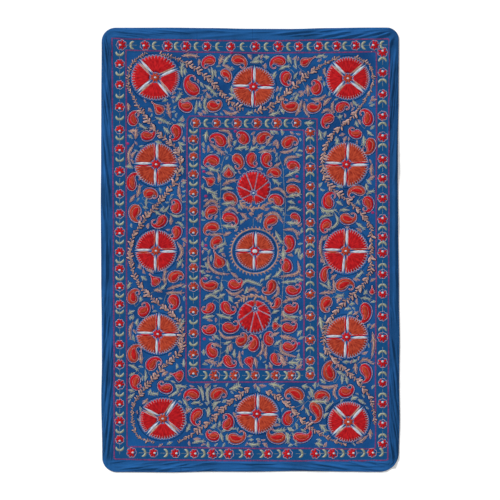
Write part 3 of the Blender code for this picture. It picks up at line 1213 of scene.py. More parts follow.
@dataclass
class FrameLines:
    """The chain-stitched lines between the margin, the flower borders and the fields."""

    work: Needlework
    strand_width: float = 0.0031
    waver: float = 0.0011
    spacing: float = 0.012
    charts: tuple[tuple[tuple[float, float], ...], ...] = (
        ((112, 38.4), (180, 40.2), (250, 41), (320, 40.2), (389, 39), (388.7, 250), (388, 460.4), (250, 460.7),
         (114.5, 459.2), (113.6, 250)),
        ((126, 50), (188, 52), (250, 53), (314, 52.6), (376.6, 52), (376.2, 250), (375.3, 449), (250, 448.2),
         (127, 446.6), (126.6, 250)),
        ((190.3, 116.2), (250, 117.2), (317.2, 119), (317.6, 250), (318, 382), (189, 382), (186, 379),
         (186.6, 250),
         (187.3, 119)),
        ((200, 128.4), (304, 130.2), (304.2, 250), (304, 369.5), (200, 369.5), (200, 250)),
    )

    def build(self) -> None:
        """Works the four lines, each a little unsteady as a hand works it."""
        line = self.work.line("frame_lines", PLUM, self.strand_width, strands=2, stitch=0.0048)
        for number, chart in enumerate(self.charts):
            path = along_path(places(chart), self.spacing, closed=True)
            run = np.arange(len(path)) * self.spacing
            sway = np.sin(run * 14 + number) * np.sin(run * 5.3 + 2 * number) * self.waver
            line.add_path(path + np.column_stack([sway, -sway]), closed=True)


@dataclass(frozen=True)
class Rosette:
    """A large round flower of four solid quarters, parted by pairs of slim petals.

    Its place is on the chart, its radii are in millimetres, and its arms are in degrees
    anticlockwise from the right.
    """

    chart_x: float
    chart_y: float
    radius_x: float
    radius_y: float
    thread: Thread
    arms: tuple[float, float, float, float]
    beside: Thread
    teeth: int = 11
    arm_half: float = 9.6
    hub: float = 23.0
    knot: float = 6.4

    def at(self, radius: np.ndarray, angle: np.ndarray) -> np.ndarray:
        """Places at parts of the radius and at angles in radians."""
        centre = place(self.chart_x, self.chart_y)
        x = centre[0] + self.radius_x * MM * radius * np.cos(angle)
        y = centre[1] + self.radius_y * MM * radius * np.sin(angle)
        return np.stack([x, y], axis=-1)

    def quarter(self, work: Needlework, first: float, last: float) -> None:
        """Works one quarter between two arms, with a toothed rim."""
        mean = (self.radius_x + self.radius_y) / 2
        steps = self.teeth * 4 + 1
        share = np.linspace(0.0, 1.0, steps)
        tooth = np.abs(np.sin(np.pi * self.teeth * share))
        depth = np.linspace(1.0, 0.0, 8)
        rim = 0.94 + 0.07 * tooth
        hub = self.hub / mean
        radius = hub + (rim[:, None] - hub) * depth[None, :]
        margin = np.arcsin(np.clip(self.arm_half / mean / radius, 0.0, 0.7))
        angle = first + margin + (last - first - 2 * margin) * share[:, None]
        grid = self.at(radius, angle)
        inward = (1.0 - depth)[None, :]
        sides = np.minimum(share, 1.0 - share)[:, None]
        swell = np.clip(inward * 9.0, 0.0, 1.0) * np.clip(sides * 16.0, 0.0, 1.0)
        swell = swell * np.clip((1.0 - inward) * 9.0, 0.0, 1.0)
        groove = 0.75 + 0.25 * tooth[:, None] ** np.clip(1.0 - inward * 4.0, 0.05, 1.0)
        rise = 0.0012 * swell**0.5 * groove
        add_wedge(work, self.thread, grid, rise, radius * mean * MM, self.teeth)
        groove_line = work.line("flower_grooves", PALE, 0.0024)
        for number in range(1, self.teeth):
            cusp = first + margin[0, 0] + (last - first - 2 * margin[0, 0]) * number / self.teeth
            groove_line.add_path(self.at(np.array([0.865, 0.955]), np.array([cusp, cusp])), lift=0.0008)

    def arm(self, work: Needlework, angle: float) -> None:
        """Works the pair of slim petals on one arm: the pale one lies on its clockwise side."""
        mean = (self.radius_x + self.radius_y) / 2
        out = np.array([math.cos(angle), math.sin(angle)])
        left = np.array([-out[1], out[0]])
        centre = place(self.chart_x, self.chart_y)
        share = np.linspace(0.0, 1.0, 10)
        for aside, thread, start, end, half in (
            (-4.4, PALE, 0.17, 1.05, 8.4),
            (6.2, self.beside, 0.20, 0.99, 6.0),
        ):
            reach = (start + (end - start) * share) * mean * MM
            spine = centre + out * reach[:, None] + left * aside * MM
            width = np.maximum(bulge(share, 1.25) * half, 0.4) * MM
            work.fill("slim_petals", thread).add_strip(spine, width, 0.0012, 5, work.shade())
            if thread is not PALE:
                side = left * (width + 0.8 * MM)[:, None]
                work.line("flower_outline", ROSE).add_path(spine + side)

    def build(self, work: Needlework) -> None:
        """Works the whole flower."""
        angles = [math.radians(angle) for angle in self.arms]
        for index, angle in enumerate(angles):
            following = angles[(index + 1) % 4]
            self.quarter(work, angle, following if following > angle else following + math.tau)
            self.arm(work, angle)
        centre = place(self.chart_x, self.chart_y)
        work.take(centre[None, :], (self.radius_x + self.radius_y) / 2 * MM)
        # A dark ring of painted shade round the flower.
        turn = np.linspace(0.0, math.tau, 90, endpoint=False)
        around = self.at(np.full(90, 1.0) + 0.085, turn)
        work.painted_shade_line(around)
        heart = ORANGE if self.thread is RED else RED
        add_petal_ring(work, "small_flower", heart, centre, 8, 3.0, 25.5, 7.8)
        work.fill("small_flower", heart).add_dot(centre, 19.5 * MM, 0.0012, work.shade())
        work.fill("knots", PALE).add_dot(centre, self.knot * MM, 0.0014, work.shade(), 0.0008)


def add_wedge(work: Needlework, thread: Thread, grid: np.ndarray, rise: np.ndarray, run: np.ndarray,
              teeth: int) -> None:
    """Works one wedge of a round flower and its pale outline.

    Args:
        work: The needlework.
        thread: The wedge's thread.
        grid: Places on the cloth, from side to side and from the rim to the middle.
        rise: Their heights over the cloth, which dip at the wedge's edges.
        run: Their distances from the flower's middle, in metres.
        teeth: How many teeth the rim has, each of two rows of thread.
    """
    rise[[0, -1], :] = -SINK
    rise[:, [0, -1]] = -SINK
    share = np.linspace(0.0, 1.0, len(grid))[:, None]
    rows = np.dstack([run, np.broadcast_to(share, run.shape) * teeth * 2 * ROW_PITCH])
    work.fill("rosette", thread).add_grid(grid, rise, rows, work.shade())
    edge = np.vstack([grid[:, 0], grid[-1, 1:], grid[-2::-1, -1], grid[0, -2:0:-1]])
    work.line("flower_outline", ROSE, 0.0026).add_path(edge, closed=True)


def add_petal_ring(work: Needlework, motif: str, thread: Thread, centre: np.ndarray, count: int, start: float,
                   end: float, half: float, first: float = 0.0, span: float = math.tau) -> None:
    """Works petals round a middle.

    Args:
        work: The needlework.
        motif: What the petals belong to.
        thread: Their thread.
        centre: The middle, in metres.
        count: How many petals.
        start: Where they start, in millimetres from the middle.
        end: Where they end, in millimetres.
        half: Their half width, in millimetres.
        first: The angle of the first one, in radians.
        span: The angle that they share, in radians.
    """
    share = np.linspace(0.0, 1.0, 5)
    width = np.maximum(bulge(0.12 + 0.82 * share, 0.8) * half, 0.4) * MM
    for number in range(count):
        angle = first + span * (number + 0.5) / count
        out = np.array([math.cos(angle), math.sin(angle)])
        spine = centre + out * ((start + (end - start) * share) * MM)[:, None]
        work.fill(motif, thread).add_strip(spine, width, 0.0012, 3, work.shade())


ROSETTES = (
    Rosette(155.3, 77.5, 113, 106, RED, (24, 133, 222, 309), BEIGE),
    Rosette(347.8, 78.4, 102, 100, RED, (40, 135, 230, 322), BEIGE),
    Rosette(162.8, 418.6, 110, 97, RED, (57, 152, 227, 317), BEIGE),
    Rosette(348.3, 421.8, 96, 95, RED, (48, 134, 222, 318), BEIGE),
    Rosette(156, 250.8, 96, 98, RED, (1, 89, 181, 271), ORANGE),
    Rosette(345.8, 251, 105, 106, RED, (1, 89, 179, 265), ORANGE),
    Rosette(253.5, 86.8, 100, 94, ORANGE, (0, 90, 180, 270), RED),
    Rosette(257, 413.8, 101, 91, ORANGE, (1, 90, 180, 270), RED),
    Rosette(156.2, 164.4, 101, 100, ORANGE, (0, 90, 180, 270), RED),
    Rosette(157.8, 334, 102, 93, ORANGE, (0, 89, 179, 270), RED),
    Rosette(346.5, 164.5, 101, 104, ORANGE, (2, 88, 178, 268), RED),
    Rosette(346.6, 337, 101, 99, ORANGE, (2, 90, 181, 268), RED),
    Rosette(254.9, 251.2, 91, 88, ORANGE, (0, 90, 180, 270), RED, knot=13.0),
)


@dataclass
class MiddleRing:
    """The leafy ring round the flower in the middle of the field."""

    work: Needlework
    chart_x: float = 254.9
    chart_y: float = 251.2
    radius_x: float = 0.110
    radius_y: float = 0.105
    half_width: float = 0.0046
    leaflets: int = 42
    leaflet_half: float = 4.4
    leaflet_length: float = 0.015

    def build(self) -> None:
        """Works the ring and its crown of leaflets."""
        centre = place(self.chart_x, self.chart_y)
        self.work.take(centre[None, :], 0.128)
        turn = np.linspace(0.0, math.tau, 72, endpoint=False)
        circle = np.column_stack([self.radius_x * np.cos(turn), self.radius_y * np.sin(turn)])
        ring = centre + np.vstack([circle, circle[:1]])
        for arc in (ring[:25], ring[24:49], ring[48:]):
            self.work.fill("leaves", BEIGE).add_strip(arc, np.full(len(arc), self.half_width), 0.0010, 3, 0.6)
        share = np.linspace(0.0, 1.0, 5)
        half = np.maximum(bulge(share, 0.7) * self.leaflet_half, 0.4) * MM
        for number in range(self.leaflets):
            angle = math.tau * number / self.leaflets
            lean = angle + 0.5
            start = centre + np.array([self.radius_x * math.cos(angle), self.radius_y * math.sin(angle)])
            spine = start + np.array([math.cos(lean), math.sin(lean)]) * (share * self.leaflet_length)[:, None]
            self.work.fill("leaves", BEIGE).add_strip(spine, half, 0.0010, 3, self.work.shade())


@dataclass(frozen=True)
class FanFlower:
    """A round flower whose petals spread from a point near its rim, over a small heart on a stem."""

    chart_x: float
    chart_y: float
    radius: float
    hub_x: float
    hub_y: float
    bounds: tuple[float, ...]
    heart_x: float
    heart_y: float
    arc: tuple[tuple[float, float], ...]
    teeth: int = 4

    def reach(self, angle: np.ndarray) -> np.ndarray:
        """How far the rim lies from the hub at angles in radians, in metres."""
        offset = place(self.hub_x, self.hub_y) - place(self.chart_x, self.chart_y)
        along = offset[0] * np.cos(angle) + offset[1] * np.sin(angle)
        return -along + np.sqrt(along**2 - offset @ offset + (self.radius * MM) ** 2)

    def build(self, work: Needlework) -> None:
        """Works the petals, their outlines, the heart, the stem and the leafy arc round them."""
        hub = place(self.hub_x, self.hub_y)
        for first, last in zip(self.bounds, self.bounds[1:]):
            self.petal(work, hub, math.radians(first), math.radians(last))
        work.fill("knots", PALE).add_dot(hub, 5.5 * MM, 0.0014, work.shade(), 0.0008)
        heart = place(self.heart_x, self.heart_y)
        add_petal_ring(work, "small_flower", ORANGE, heart, 5, 1.0, 11.0, 4.5)
        centre = place(self.chart_x, self.chart_y)
        work.take(centre[None, :], (self.radius + 4) * MM)
        path = smooth_path(places(self.arc))
        work.take(path, 0.010)
        crescent = along_path(path, 0.012)
        half = np.maximum(bulge(np.linspace(0.0, 1.0, len(crescent)), 0.6) * 5.0, 0.4) * MM
        work.fill("leaves", BEIGE).add_strip(crescent, half, 0.0010, 3, 0.6)
        leafy = work.lines.setdefault("arc_leaflets", LeafletWork("arc_leaflets", BEIGE, work.cloth, seed=5))
        leafy.add_path(along_path(path, 0.006))

    def petal(self, work: Needlework, hub: np.ndarray, first: float, last: float) -> None:
        """Works one wedge with a softly toothed rim."""
        steps = self.teeth * 4 + 1
        share = np.linspace(0.0, 1.0, steps)
        depth = np.linspace(1.0, 0.0, 6)
        start = 0.012
        gap = 0.0016
        rough = first + (last - first) * share
        tooth = np.abs(np.sin(np.pi * self.teeth * share))
        far = self.reach(rough) * (0.96 + 0.05 * tooth)
        radius = start + (far[:, None] - start) * depth[None, :]
        margin = np.arcsin(np.clip(gap / radius, 0.0, 0.5))
        angle = first + margin + (last - first - 2 * margin) * share[:, None]
        grid = hub + np.stack([radius * np.cos(angle), radius * np.sin(angle)], axis=-1)
        add_wedge(work, RED, grid, np.full(radius.shape, 0.0012), radius, self.teeth)
        for number in range(1, self.teeth):
            cusp = first + (last - first) * number / self.teeth
            out = np.array([math.cos(cusp), math.sin(cusp)]) * self.reach(cusp)
            notch = hub + out * np.array([[0.86], [0.96]])
            work.line("flower_grooves", PALE, 0.0024).add_path(notch, lift=0.0008)


FANS = (
    FanFlower(
        253.8, 187.4, 80, 253.6, 193.2, (-82, -28, 38, 78, 111, 155, 205, 262), 253.7, 199.5,
        ((239, 201), (244.5, 207), (250.5, 209), (259, 208.3), (267, 205.3), (271.2, 199.8)),
    ),
    FanFlower(
        254.4, 317, 79, 255.1, 308.5, (98, 152, 218, 258, 291, 335, 385, 442), 254.8, 302.2,
        ((271.2, 304.8), (267.5, 300.6), (260.2, 296.4), (250.5, 295.8), (242, 298), (237.2, 303.6)),
    ),
)


@dataclass(frozen=True)
class Paisley:
    """A drop with a hooked tail, worked in rows of two colours inside a pale outline.

    Its place is on the chart. Its length over all and its half width are in millimetres. Its tail
    sets out at the heading, in degrees anticlockwise from the right, and curls anticlockwise (1),
    clockwise (-1) or not at all (0). Its heart is in the other of the two colours unless it is named.
    """

    chart_x: float
    chart_y: float
    length: float
    half_width: float
    heading: float
    curl: int
    rim: Thread
    heart: Thread | None = None
    hook: float = 4.8
    middle: float = 0.25

    def spine(self, steps: int, start: float, end: float) -> tuple[np.ndarray, np.ndarray]:
        """The middle line of the drop from one share of its length to another.

        Args:
            steps: How many places.
            start: The first share, 0 at the round end.
            end: The last share, 1 at the tip of the tail.

        Returns:
            The places, and their shares.
        """
        fine = np.linspace(0.0, 1.0, 81)
        stretch = 1.05 + 0.42 * abs(self.curl)
        turn = math.radians(self.heading) + self.curl * self.hook * fine**2.5
        step = self.length * MM * stretch / 80
        x = np.concatenate([[0.0], np.cumsum(np.cos(turn[:-1]) * step)])
        y = np.concatenate([[0.0], np.cumsum(np.sin(turn[:-1]) * step)])
        shares = np.linspace(start, end, steps)
        middle = np.array([np.interp(self.middle, fine, x), np.interp(self.middle, fine, y)])
        line = np.column_stack([np.interp(shares, fine, x), np.interp(shares, fine, y)])
        return place(self.chart_x, self.chart_y) + line - middle, shares

    def half(self, shares: np.ndarray) -> np.ndarray:
        """Half width of the drop at shares of its length, in metres."""
        widest = self.middle
        front = np.sqrt(np.clip(1.0 - ((widest - shares) / widest) ** 2, 0.0, 1.0))
        run = np.clip((shares - widest) / (1.0 - widest), 0.0, 1.0)
        back = np.cos(math.pi / 2 * run**0.8) ** 2.4
        width = np.where(shares < widest, front, back) * self.half_width
        return np.maximum(width, np.where(shares < widest, 0.4, 1.5)) * MM

    def build(self, work: Needlework, motif: str) -> None:
        """Works the drop, its heart, its pale outline and the dark line of painted shade round it."""
        spine, shares = self.spine(20, 0.0, 1.0)
        half = self.half(shares)
        work.fill(motif, self.rim).add_strip(spine, half, 0.0013, 7, work.shade())
        core, core_shares = self.spine(11, 0.07, 0.55)
        run = (core_shares - 0.07) / 0.48
        width = np.maximum(bulge(run, 0.7, 0.8) * self.half_width * 0.52, 0.4) * MM
        core = core + leftward(core) * self.curl * self.half_width * 0.14 * MM
        heart = self.heart or (ORANGE if self.rim is RED else RED)
        work.fill(motif, heart).add_strip(core, width, 0.0008, 5, work.shade(), 0.0012)
        edge = np.vstack([beside(core, width), beside(core, -width)[::-1]])
        work.line(f"{motif}_heart", ROSE, 0.0013, stitch=0.0050).add_path(edge, closed=True, lift=0.0014)
        work.line(f"{motif}_outline", ROSE, 0.0030).add_path(self.outline(1.2), closed=True)
        work.painted_shade_line(self.outline(4.4))
        work.take(spine, half + 0.004)

    def outline(self, clear: float) -> np.ndarray:
        """The edge of the drop moved outwards by some millimetres, as a closed path."""
        spine, shares = self.spine(34, 0.0, 1.0)
        half = self.half(shares) + clear * MM
        left = leftward(spine)
        base = spine[0] - np.array([left[0, 1], -left[0, 0]]) * clear * MM
        side = left * half[:, None]
        return np.vstack([base[None, :], spine + side, (spine - side)[::-1]])


BORDER_PAISLEYS = tuple(Paisley(*row) for row in (
    (210, 60.5, 71, 24, 170, 1, RED), (192, 89, 104, 31, 150, -1, RED),
    (159.8, 110, 71, 24, 135, 0, ORANGE), (187, 107, 71, 26, 190, -1, RED),
    (212.5, 106, 71, 28, -30, 1, ORANGE), (133, 120.3, 71, 24, 120, -1, RED),
    (146.5, 136, 71, 24, -20, 1, RED), (176.5, 130.5, 80, 26, -60, -1, RED),
    (131.3, 183.5, 94, 24, 105, -1, RED), (148.8, 193.5, 66, 26, 35, -1, ORANGE),
    (135, 211, 85, 28, 235, 1, ORANGE), (176.1, 208.3, 66, 26, 50, 1, RED),
    (162, 221, 80, 24, 250, -1, RED), (177, 231.5, 71, 24, -75, -1, RED),
    (173.5, 277, 75, 26, 60, -1, ORANGE), (156.1, 281.8, 61, 26, 130, 0, RED),
    (132.5, 298.2, 75, 26, 110, -1, ORANGE), (173.7, 300, 71, 28, -45, -1, RED),
    (143.4, 311.7, 71, 26, 20, 1, RED), (133, 355.5, 90, 28, 110, -1, ORANGE),
    (151.3, 364.4, 80, 26, 75, -1, RED), (135, 380.2, 75, 26, 240, 1, RED),
    (179.8, 376, 61, 28, 165, 0, RED), (167, 388.5, 75, 24, 200, -1, RED),
    (193.7, 394, 75, 26, 150, 1, RED), (196.7, 414, 85, 24, 215, 1, RED),
    (214.3, 436.4, 66, 24, 200, -1, RED), (237.8, 59.7, 80, 24, 10, -1, ORANGE),
    (225.7, 73.6, 66, 21, -20, -1, ORANGE), (279.6, 60.9, 80, 24, 160, 1, RED),
    (285.7, 76.7, 71, 26, 235, 1, RED), (216.1, 394, 80, 26, 55, -1, ORANGE),
    (228, 424.5, 80, 26, 45, 1, RED), (234.5, 438.8, 90, 25, -25, 1, ORANGE),
    (278.5, 438, 95, 27, 200, -1, ORANGE), (287.5, 420, 71, 26, 115, -1, RED),
    (304.5, 62.5, 75, 21, 28, 0, ORANGE), (316.4, 89.5, 71, 27, 50, 1, RED),
    (292, 107, 85, 26, 205, -1, ORANGE), (312.4, 108, 71, 25, -20, 1, ORANGE),
    (340.2, 107.4, 69, 21, 60, -1, RED), (328.3, 118.5, 75, 24, 195, 1, RED),
    (368, 119.5, 85, 26, 70, 1, RED), (356.6, 134.2, 66, 22, 195, -1, RED),
    (370.6, 144.6, 85, 26, -75, -1, ORANGE), (358.6, 190.2, 88, 23, 155, 1, ORANGE),
    (327.9, 202.6, 85, 28, 115, -1, RED), (368.2, 202, 78, 26, -50, -1, RED),
    (346, 219, 80, 26, -35, 1, ORANGE), (326.4, 224, 66, 26, 200, 1, RED),
    (323.8, 275.5, 85, 19, 100, -1, RED), (342.2, 284.6, 90, 28, 45, -1, ORANGE),
    (326.4, 302, 76, 28, 215, 1, ORANGE), (372.1, 292.1, 38, 12, 90, 0, RED, RED),
    (366, 310.6, 104, 28, -68, -1, RED), (329, 373.6, 99, 33, 120, -1, ORANGE),
    (366, 370.4, 94, 26, -50, -1, RED), (344.6, 392, 75, 27, -20, 1, RED),
    (297.4, 394.2, 94, 28, 130, 1, ORANGE), (319.9, 395.2, 75, 23, 35, -1, ORANGE),
    (316.2, 408.8, 104, 26, -45, -1, ORANGE), (300.6, 437.6, 99, 24, -15, 1, RED),
))

FIELD_PAISLEYS = tuple(Paisley(*row) for row in (
    (220.8, 140.5, 85, 28, 115, 1, RED), (243.9, 139.2, 66, 28, 80, 1, RED),
    (261.5, 138.6, 71, 26, 70, -1, ORANGE), (287.4, 142.6, 78, 27, 60, -1, ORANGE),
    (213.6, 160.5, 75, 28, 150, 1, RED), (237.8, 159.2, 75, 24, -30, -1, ORANGE),
    (251.2, 158, 71, 24, 240, 1, RED), (266.3, 158, 71, 26, 235, 1, RED),
    (276, 172.6, 66, 24, 140, 1, ORANGE), (228.7, 174.4, 57, 26, 90, 0, ORANGE),
    (211.2, 181.7, 57, 24, 150, 0, ORANGE), (228.7, 197.4, 71, 26, 10, -1, ORANGE),
    (278.4, 200.5, 71, 24, 115, 1, RED), (212.4, 210.2, 71, 24, 185, 1, ORANGE),
    (228.7, 217.4, 80, 26, 10, -1, RED), (271.8, 219.8, 80, 26, 190, 1, ORANGE),
    (213, 226.7, 80, 24, 165, 1, ORANGE), (217.2, 240.6, 66, 24, 190, 1, ORANGE),
    (219.6, 263, 85, 31, 115, 0, ORANGE), (211.2, 286, 90, 24, 200, -1, ORANGE),
    (233.6, 284.8, 71, 26, -30, 1, RED), (271.8, 286, 80, 24, -90, -1, ORANGE),
    (277.8, 302.4, 61, 17, -90, -1, ORANGE), (210.5, 307.9, 66, 21, 250, -1, RED),
    (225.7, 307.3, 80, 24, -75, 1, RED), (228.7, 327.9, 85, 26, -30, 1, RED),
    (211.2, 329.7, 66, 24, 225, -1, RED), (212.4, 352.7, 71, 26, 150, -1, RED),
    (240.8, 341.2, 66, 26, 10, 1, ORANGE), (253.6, 345.5, 80, 26, 50, 1, RED),
    (268.7, 340.6, 66, 24, 135, -1, RED), (227.5, 360.6, 71, 21, -80, 1, RED),
    (249.3, 360.6, 66, 24, -75, 0, RED, RED), (274.2, 358.2, 66, 19, -90, 1, RED),
    (274.8, 326, 42, 21, 0, 0, ORANGE), (291.7, 165.2, 61, 24, 30, -1, RED),
    (291.6, 189.4, 66, 24, 20, -1, ORANGE), (294.8, 216.6, 57, 17, -10, -1, RED),
    (289.6, 241.6, 85, 26, -60, -1, RED), (287, 267, 71, 26, 70, 1, RED),
    (291.4, 290.6, 75, 24, -30, 1, RED), (289.4, 309.4, 71, 24, -20, 1, RED),
    (287.6, 328, 75, 24, -28, 1, RED), (288, 347, 71, 24, -25, 1, RED),
))


class Way(Enum):
    """The way a border runs: the heading of its flowers in degrees anticlockwise from the right."""

    RIGHT = 0
    UP = 90
    LEFT = 180
    DOWN = 270


@dataclass(frozen=True)
class BorderRun:
    """One side of a flower border: its flowers and the leaf pairs between them, in order on the chart."""

    way: Way
    line: float
    bow: float
    thread: Thread
    flowers: tuple[float, ...]
    leaves: tuple[float, ...]

    def spot(self, along: float) -> np.ndarray:
        """The place of a flower or leaf pair from its distance along the side, on the chart."""
        stations = self.flowers + self.leaves
        share = (along - min(stations)) / (max(stations) - min(stations))
        cross = self.line + self.bow * 4 * share * (1 - share)
        across = self.way in (Way.RIGHT, Way.LEFT)
        return place(along, cross) if across else place(cross, along)

    def build(self, work: Needlework) -> None:
        """Works the flowers, the leaf pairs and the thin stems between them."""
        angle = math.radians(self.way.value)
        out = np.array([math.cos(angle), math.sin(angle)])
        left = np.array([-out[1], out[0]])
        for along in self.flowers:
            self.flower(work, self.spot(along), angle, out)
        for along in self.leaves:
            self.leaf_pair(work, self.spot(along), out, left)

    def flower(self, work: Needlework, centre: np.ndarray, angle: float, out: np.ndarray) -> None:
        """Works one small flower: petals fanned forward, a pale knot behind them and a scalloped outline."""
        size = work.chance.uniform(0.94, 1.14)
        lean = angle + work.chance.normal(0.0, 0.25)
        heart = centre - out * 5.5 * MM
        first = lean - math.radians(146)
        span = math.radians(292)
        add_petal_ring(work, "border_flower", self.thread, centre, 6, 1.0, 21.0 * size, 8.6, first, span)
        work.fill("border_flower", self.thread).add_dot(centre, 12.5 * size * MM, 0.0013, work.shade())
        work.fill("knots", PALE).add_dot(heart, 6.2 * MM, 0.0014, work.shade(), 0.0011)
        turn = np.linspace(0.0, math.tau, 42, endpoint=False)
        radius = (19.0 + 3.0 * np.abs(np.cos(3.5 * (turn - math.pi)))) * size * MM
        outline = centre + np.column_stack([np.cos(turn + lean), np.sin(turn + lean)]) * radius[:, None]
        work.line("border_outline", ROSE, 0.0027).add_path(outline, closed=True)

    def leaf_pair(self, work: Needlework, joint: np.ndarray, out: np.ndarray, left: np.ndarray) -> None:
        """Works two leaves that curve forward from a stem, and the stem."""
        share = np.linspace(0.0, 1.0, 6)
        half = np.maximum(bulge(share * 0.86 + 0.14, 0.6) * 9.0, 0.4) * MM
        for side in (1, -1):
            forward = -5.5 + 19.0 * share**2
            aside = side * (-1.0 + 18.5 * np.sin(share * math.pi / 2))
            spine = joint + out * (forward * MM)[:, None] + left * (aside * MM)[:, None]
            work.fill("border_leaves", SAGE).add_strip(spine, half, 0.0010, 3, work.shade() * 0.45)
        stem = np.array([joint - out * 22 * MM, joint + out * 24 * MM])
        work.line("stems", SAGE, 0.0026).add_path(along_path(stem, 0.006))


BORDER_RUNS = (
    BorderRun(Way.RIGHT, 45, 1.8, RED,
              (121.5, 145, 167.4, 185.8, 206.7, 230.7, 255.2, 278.2, 298.6, 318.5, 336.6, 355.4, 374.3),
              (131.7, 154.2, 176.1, 196, 217.4, 241.9, 265.9, 288.4, 308.8, 326.6, 344.5, 363.4, 381.7)),
    BorderRun(Way.UP, 119.8, 0, RED,
              (63.9, 84.8, 107.2, 129.7, 149.1, 171.5, 193.9, 213.8, 232.1, 252, 268.9, 286.7, 304.6, 323.5,
               344.5, 364.3, 384.4, 403.3, 421.1, 439.5),
              (54.2, 74.1, 96.5, 118.5, 138.4, 160, 183.7, 203.6, 223.5, 242.3, 261.7, 278.6, 295.9, 312.1,
               334.4, 356.3, 375.2, 394.7, 414.2, 431.4, 449.2)),
    BorderRun(Way.LEFT, 452.4, 1.4, RED,
              (131.7, 153.5, 175.4, 194.3, 212.7, 228.7, 248.6, 268, 287.5, 315.3, 332.8, 352.3, 371.9),
              (144.4, 166.2, 186.8, 203.5, 221.3, 241.4, 262.2, 279.4, 301.3, 324.8, 342.6, 363.2, 381.6)),
    BorderRun(Way.DOWN, 382.6, 0, RED,
              (52.1, 72.6, 94, 115.9, 136.8, 158.8, 178.1, 198, 219.4, 236.7, 252.6, 274, 293.9, 316.1, 337.3,
               362.6, 382.7, 403.3, 424, 443.5),
              (59.3, 80.7, 102.1, 124.1, 145.5, 166.4, 185.7, 208.2, 228.1, 243.4, 265.3, 285.7, 305.4, 328.7,
               352.2, 373.5, 394.7, 414.8, 435.5)),
    BorderRun(Way.RIGHT, 123, 0.4, ORANGE, (195.5, 216.4, 236.8, 256.7, 276.6, 296.5),
              (205.7, 226.6, 246, 266.9, 285.8)),
    BorderRun(Way.UP, 193.5, 0, ORANGE,
              (139.9, 156.5, 174.6, 192.9, 211.2, 231.6, 252, 267.9, 286.7, 311, 333.3, 354, 372.3),
              (131.7, 149.1, 165.4, 184.2, 202.6, 220.9, 242.3, 260.7, 278.1, 298.5, 322.4, 344.2, 364.3)),
    BorderRun(Way.DOWN, 310.2, 0, ORANGE,
              (132.2, 149.6, 167.4, 186.2, 205.6, 222.4, 239.5, 253.3, 273.5, 293.9, 316.2, 339.7,
               360.6, 374.9),
              (138.9, 157.2, 174.1, 194.4, 212.2, 230.1, 245.4, 265.5, 283.4, 307, 328.5, 348.9, 368.8)),
    BorderRun(Way.LEFT, 375.4, 0, ORANGE, (214.7, 234.6, 255, 275.4, 291.2),
              (205.5, 225.9, 247.9, 267.8, 286.1, 298.4)),
)


